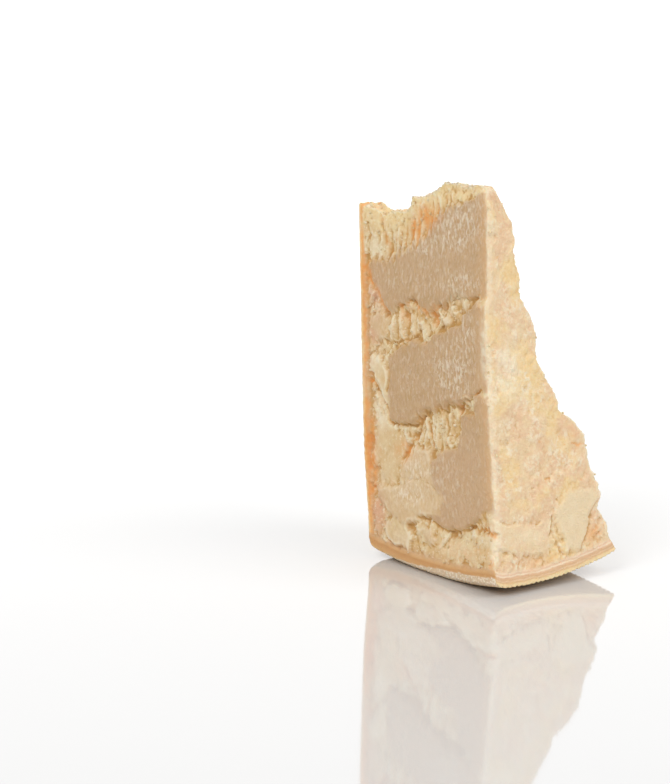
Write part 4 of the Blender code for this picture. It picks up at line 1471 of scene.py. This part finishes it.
@dataclass(frozen=True)
class CrumbFinish:
    """Loose crumbs: each its own shade of the broken paste."""

    pale: Colour = (0.88, 0.74, 0.52)
    deep: Colour = (0.72, 0.52, 0.28)
    orange: Colour = (0.78, 0.46, 0.18)
    subsurface: float = 0.22
    subsurface_reach: float = 0.003

    def material(self) -> bpy.types.Material:
        """Make the material of the crumbs."""
        board = NodeBoard("cheese_crumb")
        colour = board.mix(board.share("tone"), self.deep, self.pale)
        # Orange from the body's warm share, which holds real orange and, in cracks, painted shade
        colour = board.mix(board.rise(board.share("warm"), 0.1, 1.0, 0.0, 0.6), colour, self.orange)
        board.set("Base Color", colour)
        board.set("Normal", board.bump(board.noise(board.place, 1800.0, 3.0), 0.0003))
        board.set("Roughness", 0.6)
        board.glow(self.subsurface, (1.0, 0.55, 0.25), self.subsurface_reach)
        return board.material


@dataclass(frozen=True)
class SoftLight:
    """A far, broad studio light: the direction it comes from, its strength, its breadth and its colour."""

    name: str
    source: tuple[float, float, float]
    strength: float
    breadth: float
    colour: tuple[float, float, float]

    def hang(self) -> None:
        """Put the light in the scene."""
        light = bpy.data.lights.new(self.name, "SUN")
        light.angle = math.radians(self.breadth)
        light.energy = self.strength
        light.color = self.colour
        in_scene(self.name, light).rotation_euler = Vector(self.source).to_track_quat("Z", "Y").to_euler()


@dataclass(frozen=True)
class Studio:
    """A pale glossy table under soft light, and the camera that looks slightly down at the wedge."""

    camera_place: tuple[float, float, float] = (-0.7332, -0.8691, 0.3111)
    camera_pitch: float = math.radians(11.4)
    camera_turn: float = math.radians(36.8)
    lens: float = 110.2
    sensor: float = 36.0
    floor_radius: float = 6.0
    floor_drop: float = 0.0003
    floor_tone: float = 0.785
    floor_coat: float = 0.6
    floor_roughness: float = 0.06
    room_light: float = 0.50
    backdrop_light: float = 1.45
    lights: tuple[SoftLight, ...] = (
        SoftLight("key_light", (0.40, -0.75, 0.75), 1.12, 40.0, (1.0, 0.985, 0.96)),
        SoftLight("fill_light", (-0.80, -0.20, 0.80), 1.12, 30.0, (1.0, 1.0, 1.0)),
    )

    def build(self) -> None:
        """Make the room's light, the lights, the floor and the camera."""
        self._room()
        for light in self.lights:
            light.hang()
        self._floor()
        self._camera()
        bpy.context.scene.view_settings.view_transform = "Standard"

    def _room(self) -> None:
        """Light the room softly from all round, in front of a brighter white backdrop."""
        world = bpy.data.worlds.new("studio_room")
        world.use_nodes = True
        nodes = world.node_tree.nodes
        nodes["Background"].inputs["Color"].default_value = (1.0, 1.0, 1.0, 1.0)
        ray = nodes.new("ShaderNodeLightPath")
        strength = nodes.new("ShaderNodeMapRange")
        strength.inputs["To Min"].default_value = self.backdrop_light
        strength.inputs["To Max"].default_value = self.room_light
        world.node_tree.links.new(ray.outputs["Is Diffuse Ray"], strength.inputs["Value"])
        world.node_tree.links.new(strength.outputs["Result"], nodes["Background"].inputs["Strength"])
        bpy.context.scene.world = world

    def _floor(self) -> None:
        """Lay the table top."""
        disc = bmesh.new()
        bmesh.ops.create_circle(disc, cap_ends=True, segments=96, radius=self.floor_radius,
                                matrix=Matrix.Translation((0.0, 0.0, -self.floor_drop)))
        mesh = bpy.data.meshes.new("studio_floor")
        disc.to_mesh(mesh)
        disc.free()
        board = NodeBoard("studio_floor")
        board.set("Base Color", (self.floor_tone,) * 3)
        board.set("Coat Weight", self.floor_coat)
        board.set("Roughness", self.floor_roughness)
        mesh.materials.append(board.material)
        in_scene("studio_floor", mesh)

    def _camera(self) -> None:
        """Set the camera at the viewing angle."""
        data = bpy.data.cameras.new("camera")
        data.lens = self.lens
        data.sensor_width = self.sensor
        camera = in_scene("camera", data)
        camera.location = self.camera_place
        camera.rotation_euler = (math.pi / 2 - self.camera_pitch, 0.0, -self.camera_turn)
        bpy.context.scene.camera = camera


def seat(piece: bpy.types.Object, material: bpy.types.Material) -> None:
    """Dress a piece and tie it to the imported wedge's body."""
    piece.data.materials.clear()
    piece.data.materials.append(material)
    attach(piece, BODY_NAME)
    LOG.info("%s: %d triangles", piece.name, triangles_of(piece.data))


def main() -> None:
    """Build the wedge, its crumbs and the studio, and note the sizes."""
    logging.basicConfig(level=logging.INFO, format="%(name)s: %(message)s")
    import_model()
    noise.seed_set(BREAK_SEED)
    wheel = Wheel()
    body = CheeseBody(wheel).build()
    seat(body, PasteFinish().material())
    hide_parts(NODE_NAME)
    crumbs = Crumbs().build(body)
    seat(crumbs, CrumbFinish().material())
    Studio().build()


if __name__ == "__main__":
    main()
